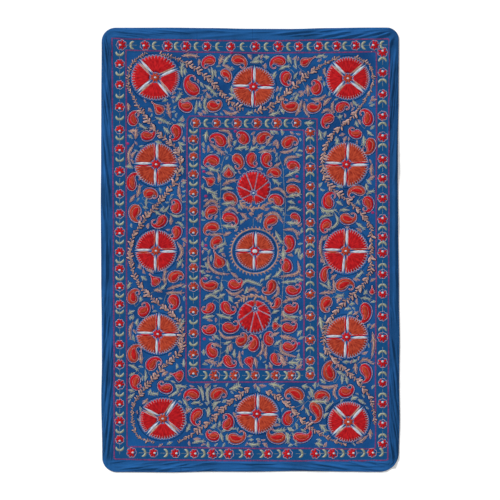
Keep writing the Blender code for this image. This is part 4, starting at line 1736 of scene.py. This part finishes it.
@dataclass
class Vine:
    """The leafy vine that winds between the round flowers of the main border."""

    work: Needlework
    charts: tuple[tuple[tuple[float, float], ...], ...] = (
        ((129, 89), (128, 80), (129, 72), (131, 64), (139, 57), (146, 53)),
        ((160, 54), (172, 57), (184, 62), (196, 69), (205, 76), (212, 82), (219, 90), (226, 98), (233, 105),
         (243, 109)),
        ((255, 112), (265, 109), (273, 105), (280, 99), (293, 88), (305, 77), (314, 70), (322, 65), (330, 61),
         (339, 57)),
        ((355, 57), (364, 61), (370, 65), (372.6, 73), (373.6, 81), (370.5, 91), (366, 98), (362, 105),
         (353, 116), (347, 122), (341, 127), (333, 133), (329, 140), (324.6, 149), (323, 158), (322, 168),
         (325.6, 180), (330, 187), (340, 195), (346, 199), (352, 204), (357, 209), (362, 214), (367, 220),
         (371.5, 228), (371, 242), (371.5, 250), (370.5, 258), (371.5, 270), (367, 278), (362, 286), (352, 296),
         (346, 301), (337, 310), (332, 316), (326, 326), (323, 338), (324, 347), (330, 355), (336, 362),
         (343, 368), (351, 375), (359, 382), (364, 390), (369, 395), (372, 403), (374, 414), (374.4, 424)),
        ((266, 391), (275, 395), (283, 401), (290, 406), (295.5, 412.5), (302, 420.5), (310, 427),
         (318.5, 433), (328, 438), (337, 442), (346, 444.6)),
        ((249.4, 388), (241, 394), (233, 400), (225, 407), (217, 415), (209, 423), (201, 427), (194, 433),
         (186, 438), (179, 442)),
        ((154.3, 441.8), (141.6, 439.4), (136, 434.5), (133, 423), (132, 412.5), (133.5, 403), (137.5, 398),
         (147, 385), (155, 377), (160, 371), (165, 365), (171, 361), (176.5, 356), (182, 350.5), (183, 344),
         (182, 336), (183, 327), (179, 321), (173, 315), (166, 309), (159, 305), (147, 293), (141, 287),
         (136, 279), (132, 270), (130, 256), (131, 246), (132, 238), (137, 230), (142, 223.5), (147, 215),
         (153, 210), (160, 201), (165, 195), (170.5, 188), (175.6, 182), (177.7, 174.5), (181.7, 163),
         (180, 156), (176.6, 149), (169.5, 142), (161, 136), (155, 130), (149, 122), (144, 115), (139, 108),
         (134, 98), (130, 91)),
    )
    corner_reach: float = 0.155
    corner_share: float = 0.6

    def build(self) -> list[np.ndarray]:
        """Works the stem and the leaflets on both of its sides, and returns the paths they follow."""
        large, small = self.leaflets("vine", 1.0), self.leaflets("vine_end", self.corner_share)
        paths = []
        for chart in self.charts:
            path = along_path(smooth_path(places(chart)), 0.006)
            self.work.take(path, 0.017)
            self.work.line("vine_stem", BEIGE, 0.0040, stitch=0.0060).add_path(path, lift=0.0009)
            corner = self.by_corner(path)
            cuts = np.flatnonzero(np.diff(corner.astype(int))) + 1
            for run, slight in zip(np.split(path, cuts), corner[np.r_[0, cuts]]):
                for layer in small if slight else large:
                    layer.add_path(run, lift=0.0003)
            paths.append(path)
        return paths

    def by_corner(self, path: np.ndarray) -> np.ndarray:
        """Whether places pass close to one of the four corner flowers."""
        middles = np.array([place(flower.chart_x, flower.chart_y) for flower in ROSETTES[:4]])
        away = np.hypot(path[:, None, 0] - middles[:, 0], path[:, None, 1] - middles[:, 1])
        return away.min(axis=1) < self.corner_reach

    def leaflets(self, name: str, share: float) -> tuple[LeafletWork, ...]:
        """Starts the leaflets themselves, their outline and the dark rim of painted shade below it.

        Args:
            name: What the layers' names begin with.
            share: How large the leaflets are, as a part of their full size.

        Returns:
            The three layers, which lie leaflet for leaflet on each other.
        """
        layers = []
        # The navy layer is painted shade: larger leaflets under the others, darkening the cloth round them.
        for label, thread, clear, height in (
            ("leaflets", BEIGE, 0.0, 0.0020),
            ("edges", ROSE, 0.0016, 0.0013),
            ("shade", NAVY, 0.0048, 0.0007),
        ):
            layer = LeafletWork(f"{name}_{label}", thread, self.work.cloth, seed=11, leaflet_height=height)
            layer.leaflet_width = (layer.leaflet_width + 1.6 * clear) * share
            layer.leaflet_length = (layer.leaflet_length + clear) * share
            layer.spacing *= math.sqrt(share)
            self.work.lines[layer.name] = layer
            layers.append(layer)
        return tuple(layers)


@dataclass(frozen=True)
class Leaf:
    """A pointed leaf: its half width in millimetres, its side lobes and its course, x and y in turn."""

    half_width: float
    lobes: int
    course: tuple[float, ...]

    def build(self, work: Needlework, thread: Thread) -> None:
        """Works the leaf, its lobes, its outline and the dark line of painted shade round it."""
        ends = places(tuple(zip(self.course[0::2], self.course[1::2])))
        if len(ends) == 2:
            across = ends[1] - ends[0]
            bend = work.chance.uniform(-0.14, 0.14)
            middle = (ends[0] + ends[1]) / 2 + bend * np.array([-across[1], across[0]])
            ends = np.vstack([ends[0], middle, ends[1]])
        half_width, lobes = self.half_width * LEAF_WIDEN, self.lobes + 1
        work_leaf(work, thread, smooth_path(ends), half_width, lobes, outer=len(self.course) > 4)


def work_leaf(work: Needlework, thread: Thread, path: np.ndarray, half_width: float, lobes: int,
              shaded: bool = True, outer: bool = False) -> None:
    """Works one leaf along a path.

    Args:
        work: The needlework.
        thread: The leaf's thread.
        path: The middle of the leaf, in metres.
        half_width: Its half width, in millimetres.
        lobes: How many small lobes stand out on each side.
        shaded: Whether a dark line of painted shade runs round it.
        outer: Whether it is a long curved leaf, with a row of small teeth on its outer side only.
    """
    length = float(np.hypot(*np.diff(path, axis=0).T).sum())
    spine = along_path(path, length / (12 if outer else 8))
    share = np.linspace(0.0, 1.0, len(spine))
    half = np.maximum(bulge(share, 0.9 if outer else 0.75, 0.85) * half_width, 0.5) * MM
    fill = work.fill("leaves", thread)
    fill.add_strip(spine, half, 0.0010, 3, work.shade())
    work.take(spine, half + 0.002)
    along = np.gradient(spine, axis=0)
    heading = np.arctan2(along[:, 1], along[:, 0])
    first, last, sides, size, angle = 0.22, 0.72, (1, -1), 2.8, 0.85
    if outer:
        lobes = max(int(length / 0.011), 3)
        chord, mid = spine[-1] - spine[0], spine[len(spine) // 2] - spine[0]
        first, last, size, angle = 0.14, 0.88, 2.1, 0.95
        sides = (1,) if chord[0] * mid[1] - chord[1] * mid[0] > 0 else (-1,)
    for number in range(lobes):
        index = int(round((first + (last - first) * number / max(lobes - 1, 1)) * (len(spine) - 1)))
        for side in sides:
            way = heading[index] + side * angle
            reach = np.linspace(0.0, half_width * size * MM, 4)[:, None]
            tip = spine[index] + np.array([math.cos(way), math.sin(way)]) * reach
            width = np.array([0.6, 1.0, 0.8, 0.15]) * half_width * 0.46 * MM
            fill.add_strip(tip, width, 0.0009, 3, work.shade())
    outline = ROSE if thread is BEIGE else PALE
    for aside in (1, -1):
        work.line("leaf_outline", outline, 0.0018).add_path(beside(spine, aside * (half + 0.0006)), lift=0.0006)
        # The navy line round the leaf is painted shade.
        if shaded:
            rim = beside(spine, aside * (half + 0.0030))
            work.line("leaf_shade", NAVY, 0.0036, stitch=0.0070).add_path(rim, lift=0.0)


SAGE_LEAVES = tuple(Leaf(*row[:2], row[2:]) for row in (
    (5, 2, 175, 102, 182, 92.4), (5, 0, 195.2, 113.6, 196.7, 101),
    (5, 0, 208, 113.6, 203.6, 104.5, 207, 96), (6, 2, 204.6, 85, 217, 96.7), (6, 2, 182.5, 76.7, 183.4, 62),
    (5, 0, 211.3, 67.6, 211.9, 80), (4, 0, 215, 70, 216, 77), (5, 3, 155.5, 117.3, 171, 124.5),
    (5, 2, 176.7, 124, 185, 126), (5, 2, 163.4, 127, 169.5, 133.6), (4, 1, 139, 123.3, 147.6, 128.8),
    (5, 1, 180, 144, 183.5, 152), (5, 0, 181, 166, 182.4, 174), (4, 0, 146.2, 206, 146.8, 198),
    (4, 0, 143, 207, 148, 208.4), (4, 0, 162.6, 212, 169, 205.6), (5, 0, 155, 211, 161, 215),
    (4, 0, 170.5, 214, 177, 217, 184, 214), (5, 0, 175.5, 223, 180, 222.4, 183.4, 228),
    (5, 2, 177, 268, 182.6, 259), (5, 1, 127.6, 289, 130.4, 282), (5, 0, 160, 290, 166.4, 283),
    (5, 1, 129, 365, 138.5, 371), (5, 2, 178, 330, 184, 319), (5, 0, 184, 367, 184, 359),
    (5, 0, 145.2, 381, 145.2, 370), (5, 1, 164.6, 380, 170.8, 375), (4, 0, 129.4, 375, 134.8, 372.6),
    (5, 1, 150, 394.5, 158.5, 394), (5, 0, 128, 398, 134.6, 393.4), (5, 1, 176, 385, 187, 386.7),
    (5, 0, 175, 384.2, 179.6, 391, 168.8, 396.4), (4, 0, 198, 385.5, 202.2, 392, 203.4, 400),
    (5, 0, 210.7, 385.5, 206.4, 393.3, 208.8, 403), (5, 1, 191.3, 403.6, 200.4, 402.4),
    (5, 1, 182.8, 398.8, 188.8, 409), (5, 0, 208.8, 407, 208.8, 416), (4, 0, 213, 409, 218, 402),
    (5, 1, 186.4, 431.5, 190, 424), (5, 1, 192.5, 443, 205.2, 441.2), (6, 0, 223.3, 65.2, 231.2, 54.8),
    (5, 3, 250.5, 62.7, 263.3, 62.1), (4, 1, 253, 60, 260, 55.4), (5, 1, 246, 114.6, 253, 112),
    (6, 1, 269.3, 115.5, 279.6, 111.8), (5, 1, 279, 70, 290.5, 66.4), (4, 0, 288.7, 63, 288.7, 55),
    (4, 0, 201.2, 386.5, 203, 400.5), (4, 0, 206.7, 387, 209, 403.5), (8, 2, 229.5, 389, 240.5, 384.5),
    (5, 0, 257, 386, 259.7, 392), (8, 1, 269, 384, 283, 388), (6, 2, 273.3, 430.8, 286, 429.5),
    (5, 0, 287.3, 427.7, 293.3, 430.2), (6, 1, 287.9, 433.6, 287.9, 443.6),
    (6, 1, 247.9, 443.5, 260, 443.5), (5, 0, 227.3, 433.8, 226.6, 438, 229.7, 441.7),
    (5, 0, 220.6, 433, 223, 441.7), (5, 0, 221.8, 432, 228, 428, 235.8, 429), (4, 0, 218.8, 427, 220, 421),
    (5, 0, 207.3, 416.8, 209, 407.7), (5, 0, 212, 405.3, 220.6, 401.7), (5, 0, 287.3, 56, 291.5, 64),
    (4, 0, 295, 59, 296.4, 67), (4, 0, 294, 79, 297.6, 72.4), (5, 1, 316.4, 57.9, 324.8, 55.5),
    (5, 1, 295, 102, 298.8, 93.6), (5, 1, 352.7, 100.3, 358, 105.8), (5, 0, 338.2, 118, 342.4, 115.5),
    (6, 1, 318.8, 130, 321, 140), (5, 0, 355.8, 121, 358.2, 127), (5, 0, 367.3, 130.6, 373.3, 135.5),
    (6, 2, 363.3, 136, 363, 146.5), (5, 0, 366, 183.5, 367.3, 190.8), (5, 1, 366.7, 194.4, 374.5, 190.8),
    (5, 0, 336.4, 201.7, 342.4, 205.3), (8, 1, 320, 207, 326, 212.4, 336.4, 209.5),
    (5, 0, 340, 210.2, 349.2, 210.2), (5, 0, 319.4, 219.2, 324.6, 215.6, 332.7, 215.6),
    (5, 1, 335, 213.8, 339.2, 222.6, 328.5, 230.3), (5, 1, 356.4, 223, 365, 229.7),
    (4, 0, 320, 283, 331, 289.7), (5, 1, 328.5, 279.4, 330.3, 288.5), (5, 1, 355.2, 278, 363, 271),
    (5, 1, 335.2, 297.6, 344.2, 295.2), (5, 1, 361, 298, 371, 300), (9, 0, 319.5, 317, 321.8, 331.7),
    (6, 1, 319.4, 352.9, 326, 358.9), (5, 1, 336.4, 371, 345.5, 376), (5, 0, 341.2, 375.3, 341.8, 383.8),
    (5, 0, 346, 376.5, 347.3, 383.8), (5, 0, 352.7, 362.6, 357, 360), (5, 0, 298.2, 401, 303, 403),
    (7, 0, 301.8, 386, 308.5, 387), (5, 1, 309.7, 387, 312.7, 398.6), (8, 1, 310.3, 401.7, 328.5, 401.7),
    (5, 1, 325.5, 411.4, 328, 406, 333.3, 402.3), (8, 1, 319.4, 424.7, 326, 432),
    (5, 0, 305.5, 408.3, 309, 415.6), (5, 0, 358.2, 399.2, 365.5, 404),
    (5, 0, 292, 433, 295.8, 437, 295.8, 443.5), (7, 0, 286, 432.6, 289, 440.5),
    (4, 0, 295.8, 423, 297, 429), (4, 0, 301, 429, 306, 432), (4, 0, 288.5, 429, 294, 430),
    (8, 0, 315.2, 443.5, 323, 445.3), (7, 0, 207, 131, 206, 142), (7, 1, 234.8, 149, 248, 146.5),
    (6, 1, 249.3, 151.4, 258.4, 146.5), (7, 1, 207.5, 167, 219.6, 170.8),
    (5, 1, 222, 172.6, 228, 163.7, 236, 173.8), (6, 1, 272.4, 179, 280.2, 184.7),
    (7, 1, 204.5, 187.7, 217.2, 193.8), (6, 0, 221.5, 189.5, 233.6, 189), (6, 1, 212, 194, 219, 200),
    (7, 1, 222, 204, 235.4, 202.3), (6, 1, 271.2, 207, 283.3, 210.8), (7, 1, 221.5, 225.5, 238.4, 226.7),
    (6, 1, 217.8, 247.9, 226.3, 243), (5, 1, 227, 260, 230, 271.5),
    (6, 1, 241.5, 286, 246, 280, 254, 283, 262, 286), (6, 0, 283.9, 260, 283.9, 248),
    (6, 1, 273.6, 277, 281.5, 268.5), (5, 0, 265, 280, 271, 274), (6, 1, 275.4, 231, 282.7, 244),
    (5, 0, 221.5, 291, 221.5, 283), (6, 1, 203.9, 300, 210.5, 294, 218.4, 298.8),
    (5, 0, 213, 294, 220, 290), (5, 0, 219, 298, 225, 294), (7, 0, 202.7, 318, 214.2, 315.8),
    (6, 1, 216.6, 314, 232.4, 318), (5, 0, 213.6, 334.6, 219.6, 339.4), (5, 0, 228, 354, 228, 346),
    (5, 0, 224, 344, 231, 341), (5, 0, 234.8, 358, 234.8, 349), (5, 0, 243, 349, 249.6, 344.4),
    (5, 0, 274.6, 345, 281, 340), (5, 0, 272, 313.4, 279, 310.6), (5, 0, 273, 322, 279, 317),
    (6, 1, 285.5, 176.4, 299.4, 170), (7, 1, 287.9, 197, 301.2, 194.4), (5, 0, 288, 201.7, 295, 203.8),
    (6, 0, 287.3, 210.6, 292, 206.8, 300.6, 210.8), (7, 1, 286, 222.3, 299, 222.5),
    (7, 0, 283.6, 249, 283, 260), (5, 0, 298.2, 248, 295.2, 254), (5, 0, 300.4, 248, 299.2, 258.8),
    (6, 1, 281.8, 282.4, 298.2, 280.6), (6, 1, 283, 311, 286, 317, 298.2, 316.5),
    (8, 1, 287.9, 363.2, 298.8, 363.8), (8, 0, 304.6, 123, 314, 122.6),
))

BEIGE_LEAVES = tuple(Leaf(*row[:2], row[2:]) for row in (
    (5, 1, 180.4, 102.1, 190, 98, 199.8, 98.5), (6, 2, 170.7, 118, 167.6, 103), (6, 1, 182, 56, 199, 56.7),
    (5, 0, 127.6, 103.3, 128.2, 111), (6, 1, 129, 131, 137, 130), (6, 1, 135.5, 139, 135.5, 129.6),
    (5, 1, 134, 144, 127.6, 155, 131, 166.5), (6, 1, 137, 197, 139.6, 184.6), (5, 0, 130, 202, 135, 194.6),
    (5, 0, 181.4, 201, 179.4, 183), (5, 0, 170.7, 224.6, 170.7, 216),
    (6, 1, 177.3, 242.4, 183.4, 252, 176.7, 260.6), (6, 1, 165.8, 285, 165.8, 269),
    (5, 1, 167.6, 289, 184, 284), (6, 1, 166.4, 293, 184, 292.7), (5, 0, 154, 290, 162, 292),
    (5, 0, 130, 249, 129.4, 256, 133, 262), (6, 0, 141.6, 363.6, 141.6, 351.6),
    (5, 0, 133, 322, 129.6, 330, 131, 339.5), (7, 0, 181, 350.6, 181, 334.6),
    (6, 2, 219, 64.5, 222.7, 55.5), (5, 1, 222.7, 65.2, 232.4, 70.6),
    (6, 1, 223.3, 110.4, 231, 115, 238.4, 111), (7, 0, 307.3, 85, 307.9, 96),
    (6, 1, 311.5, 99, 320, 100, 325.5, 94.8), (6, 0, 323.6, 105.8, 331, 98), (7, 0, 317.6, 80.6, 321.6, 77),
    (5, 0, 325, 68, 324, 72, 326, 76), (6, 0, 295.8, 115.5, 301.8, 100),
    (5, 0, 304.2, 101.5, 304.6, 110.8, 309.7, 116.7), (5, 0, 333.3, 101.5, 331.7, 107.6, 334.5, 112.4),
    (5, 1, 321.8, 113, 327.3, 109, 332.7, 113), (6, 0, 372, 164, 372.7, 177.4),
    (5, 0, 368.5, 179.8, 374.5, 176), (5, 0, 321.8, 240, 327.3, 235), (5, 0, 320.6, 258.8, 324.8, 263),
    (5, 1, 322, 236, 319.4, 250, 324.8, 263), (5, 2, 320, 293.6, 334.5, 292),
    (5, 0, 331, 279.4, 336.4, 274.5), (5, 1, 333.3, 280, 333.3, 291.5), (7, 0, 372.4, 332.3, 371.4, 358.3),
    (6, 1, 320, 385.6, 328.5, 388, 337, 384.4), (6, 1, 360, 362, 365.5, 358.6, 373.3, 364.4),
    (6, 0, 355.2, 363.2, 356.4, 373.5), (5, 2, 337, 385.3, 333, 393, 337.6, 398.6),
    (6, 0, 356.4, 443, 367.3, 435.6), (6, 0, 370.3, 429.5, 370.3, 438.6), (7, 1, 228.7, 136, 230, 147.7),
    (6, 2, 210.5, 144, 225, 155), (5, 0, 219, 130.6, 229, 131, 232.4, 140), (5, 0, 253.6, 145, 253.6, 136),
    (5, 0, 266.3, 145.3, 273, 136.2), (5, 1, 259, 152.6, 273, 150.8), (5, 0, 277.8, 148.6, 277.8, 141),
    (5, 0, 206, 173, 213.6, 175), (5, 0, 218.4, 182.6, 218.4, 173.6), (6, 1, 222.7, 185.3, 237.2, 179.8),
    (5, 1, 271.2, 190, 280, 188, 286.9, 197.6), (5, 0, 274, 166.6, 280.6, 162.4),
    (6, 1, 203.9, 207, 213, 199, 219, 207.7), (6, 1, 222.7, 213, 232.4, 206.8, 237.8, 213.8),
    (5, 1, 264.5, 216, 275.8, 211.6, 282.7, 223), (6, 1, 240.5, 213.2, 246.8, 219.8),
    (6, 1, 262.5, 213, 256.2, 219.8), (6, 0, 249, 213.4, 253.4, 214.4), (5, 0, 224, 236, 231, 232.4),
    (5, 0, 210, 235, 223.3, 234), (5, 2, 208, 256, 208.6, 266, 216, 273.4, 229, 274),
    (5, 0, 231, 272.7, 238.4, 279.4), (6, 0, 247.5, 292.5, 252.4, 287.5, 257.8, 293),
    (5, 1, 226.3, 289.7, 233.6, 295.8, 243.3, 289), (5, 0, 277, 284, 279, 293, 272, 298),
    (5, 0, 283, 302.4, 289.6, 298.6), (5, 1, 219, 331, 225, 339, 238.4, 335.8),
    (5, 0, 211.8, 344.2, 221.5, 347.3), (5, 1, 239.6, 351.5, 242.7, 367.3),
    (6, 0, 254.8, 357.6, 256.6, 367.9), (5, 0, 262, 341, 263, 351, 257, 356),
    (5, 0, 266.3, 358.6, 266.3, 346.6), (5, 0, 272, 336, 279, 332.4), (6, 0, 280.2, 335.8, 290.5, 339.4),
    (5, 0, 282.7, 311, 285, 318), (5, 0, 217, 366.6, 223, 360.6), (6, 2, 205, 360.6, 216.6, 364),
    (6, 1, 277.8, 353.3, 285.7, 364.8), (5, 1, 280, 152, 288, 152.4, 295, 148),
    (5, 1, 284.4, 165, 287, 156.8, 298.8, 157.4), (5, 1, 286.7, 182.4, 292, 179, 300, 182.3),
    (5, 1, 283.6, 229.7, 296, 229.4, 297.6, 239.4), (6, 1, 297.6, 261.2, 300.6, 274, 280, 276.4),
    (6, 1, 286, 296.4, 292, 300.4, 300, 295.8), (5, 1, 281, 321, 288, 318.6, 297, 321),
    (6, 0, 283, 336.5, 296.4, 339.5), (5, 1, 280.6, 342.6, 281, 353, 295.8, 356.5),
    (6, 1, 281.2, 357.7, 284.8, 365.6),
))

# The small purple knots of the field and the border.
PLUM_KNOTS = (
    (204, 171.6), (205.9, 196.2), (297, 176.5), (299.6, 202), (235.4, 131.4), (372.7, 212.6), (231.6, 52.8),
    (146, 148.6), (127.8, 143.8), (206, 245.6), (205.4, 279), (300.6, 283.6), (204.4, 339), (299, 343.6),
)


@dataclass
class Stems:
    """The thin pale stems that the small leaves and drops grow from."""

    work: Needlework
    charts: tuple[tuple[tuple[float, float], ...], ...] = (
        ((224, 158), (221.4, 166), (220.4, 178), (221, 190), (219.6, 202), (220, 216), (222, 230), (226, 244)),
        ((279, 158), (283.4, 168), (283.6, 180), (284.6, 195.6), (286, 207.7), (283.6, 225),
         (284, 240), (282, 256)),
        ((224, 272), (221, 282), (219.4, 296), (219.6, 310), (219, 324), (220.4, 338), (221, 352), (218, 364)),
        ((283.6, 272), (283, 286), (282, 300), (281.6, 316), (281, 330), (282.4, 344), (281, 356)),
        ((253.8, 196), (253.8, 203)), ((255, 300), (255, 306)), ((253.2, 219), (253.2, 226)),
    )
    reach: float = 0.085

    def build(self, drops: tuple[Paisley, ...], trunks: list[np.ndarray]) -> None:
        """Works the main stems, and a curved branch to each drop that a trunk passes near.

        Args:
            drops: The drops.
            trunks: The paths that branches may grow from, in metres.
        """
        main = [along_path(smooth_path(places(chart)), 0.006) for chart in self.charts]
        for path in main:
            self.work.line("stems", SAGE, 0.0026).add_path(path)
            self.work.take(path, 0.004)
        trunk = np.vstack([*main[:4], *trunks])
        for drop in drops:
            start = drop.spine(3, 0.0, 1.0)[0][0]
            away = np.hypot(*(trunk - start).T)
            near = int(np.argmin(away))
            if away[near] < self.reach:
                self.branch(trunk[near], start, drop)

    def branch(self, root: np.ndarray, tip: np.ndarray, drop: Paisley) -> None:
        """Works one branch that leaves its root and meets the round end of a drop."""
        heading = math.radians(drop.heading)
        behind = tip - np.array([math.cos(heading), math.sin(heading)]) * 0.022
        path = along_path(smooth_path(np.vstack([root, behind, tip])), 0.005)
        self.work.line("branches", SAGE, 0.0022).add_path(path)


@dataclass
class Sprigs:
    """The small loose leaves that fill what the larger motifs leave free."""

    work: Needlework
    tries: int = 20000
    clear: float = 0.0022
    seed: int = 12
    outside: tuple[float, float, float, float] = (129.4, 55.4, 373.4, 445.4)
    band: tuple[float, float, float, float] = (184.4, 114.6, 320.4, 384.6)
    inside: tuple[float, float, float, float] = (202.6, 132, 301.6, 367)
    plain_corner: float = 0.075

    @staticmethod
    def within(spot: tuple[float, float], box: tuple[float, float, float, float]) -> bool:
        """Whether a place on the chart lies between four sides."""
        return box[0] < spot[0] < box[2] and box[1] < spot[1] < box[3]

    def build(self) -> None:
        """Works a small leaf wherever one fits."""
        chance = np.random.default_rng(self.seed)
        left, top, right, bottom = self.outside
        corners = places(((left, top), (right, top), (right, bottom), (left, bottom)))
        self.work.take(corners, self.plain_corner)
        taken = np.vstack(self.work.taken)
        for _ in range(self.tries):
            spot = (chance.uniform(left, right), chance.uniform(top, bottom))
            if self.within(spot, self.band) and not self.within(spot, self.inside):
                continue
            angle = chance.uniform(0, math.tau)
            length = chance.uniform(0.014, 0.036)
            half = length / MM * chance.uniform(0.14, 0.2)
            out = np.array([math.cos(angle), math.sin(angle)])
            ends = place(*spot) + out * np.array([[-0.5], [0.0], [0.5]]) * length
            gaps = np.hypot(ends[:, None, 0] - taken[:, 0], ends[:, None, 1] - taken[:, 1]) - taken[:, 2]
            if gaps.min() < half * MM * 0.5 + self.clear:
                continue
            ends[1] += np.array([-out[1], out[0]]) * length * chance.uniform(-0.25, 0.25)
            thread = SAGE if chance.random() < 0.6 else BEIGE
            work_leaf(self.work, thread, smooth_path(ends), half * LEAF_WIDEN, int(length > 0.022), shaded=False)
            taken = np.vstack([taken, self.work.taken[-1]])


@dataclass
class Studio:
    """The pale floor, the soft light and the camera straight above the cloth."""

    lens: float = 85.0
    sensor: float = 36.0
    floor_half: float = 8.0
    floor_height: float = -0.0004
    surround: float = 0.50

    def build(self) -> None:
        """Sets the floor, the world, the lights and the camera."""
        self.floor()
        self.world()
        self.light("key", 136.0, 20.0, 5.15, 7.0)
        self.light("fill", -35.0, 60.0, 0.35, 40.0)
        self.camera()

    def floor(self) -> None:
        """A plain near-white floor just under the cloth."""
        mesh = bpy.data.meshes.new("studio_floor")
        ways = ((-1, -1), (1, -1), (1, 1), (-1, 1))
        corners = [(x * self.floor_half, y * self.floor_half, self.floor_height) for x, y in ways]
        mesh.from_pydata(corners, [], [(0, 1, 2, 3)])
        material = bpy.data.materials.new("pale_floor")
        material.use_nodes = True
        shader = material.node_tree.nodes["Principled BSDF"]
        shader.inputs["Base Color"].default_value = (0.97, 0.97, 0.97, 1.0)
        shader.inputs["Roughness"].default_value = 0.9
        shader.inputs["Specular IOR Level"].default_value = 0.1
        mesh.materials.append(material)
        link("studio_floor", mesh)

    def world(self) -> None:
        """An even white surrounding light."""
        world = bpy.data.worlds.new("studio")
        world.use_nodes = True
        background = world.node_tree.nodes["Background"]
        background.inputs["Color"].default_value = (1.0, 1.0, 1.0, 1.0)
        background.inputs["Strength"].default_value = self.surround
        bpy.context.scene.world = world

    def light(self, name: str, bearing: float, elevation: float, strength: float, spread: float) -> None:
        """Sets one even light that comes from far away.

        Args:
            name: The light's name.
            bearing: Where it stands, in degrees anticlockwise from the right of the cloth.
            elevation: How high it stands, in degrees over the floor.
            strength: Its strength.
            spread: How wide it looks from the cloth, in degrees, which softens its shadows.
        """
        lamp = bpy.data.lights.new(name, "SUN")
        lamp.energy = strength
        lamp.angle = math.radians(spread)
        holder = link(name, lamp)
        holder.rotation_euler = (0.0, math.radians(90.0 - elevation), math.radians(bearing))

    def camera(self) -> None:
        """The camera that sees the cloth as the photograph does."""
        data = bpy.data.cameras.new("overhead")
        data.lens = self.lens
        data.sensor_width = self.sensor
        middle = place(PHOTO_PIXELS / 2, PHOTO_PIXELS / 2)
        holder = link("overhead", data)
        holder.location = (middle[0], middle[1], PHOTO_PIXELS * CHART_STEP * self.lens / self.sensor)
        bpy.context.scene.camera = holder
        bpy.context.scene.view_settings.view_transform = "Standard"


def main() -> None:
    """Loads the frame and dresses it, class by class."""
    logging.basicConfig(level=logging.INFO, format="%(name)s %(message)s")
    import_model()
    cloth = ClothShape()
    GroundCloth(cloth).finish_piece()
    work = Needlework(cloth)
    FrameLines(work).build()
    for run in BORDER_RUNS:
        run.build(work)
    for rosette in ROSETTES:
        rosette.build(work)
    MiddleRing(work).build()
    for fan in FANS:
        fan.build(work)
    trunks = Vine(work).build()
    for drop in BORDER_PAISLEYS:
        drop.build(work, "border_paisley")
    for drop in FIELD_PAISLEYS:
        drop.build(work, "field_paisley")
    for leaf in SAGE_LEAVES:
        leaf.build(work, SAGE)
    for leaf in BEIGE_LEAVES:
        leaf.build(work, BEIGE)
    for spot in PLUM_KNOTS:
        work.fill("knots", PLUM).add_dot(place(*spot), 8.0 * MM, 0.0012, work.shade())
        work.take(place(*spot)[None, :], 0.010)
    Stems(work).build(BORDER_PAISLEYS + FIELD_PAISLEYS, trunks)
    Sprigs(work).build()
    work.finish()
    Studio().build()
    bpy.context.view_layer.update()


if __name__ == "__main__":
    main()
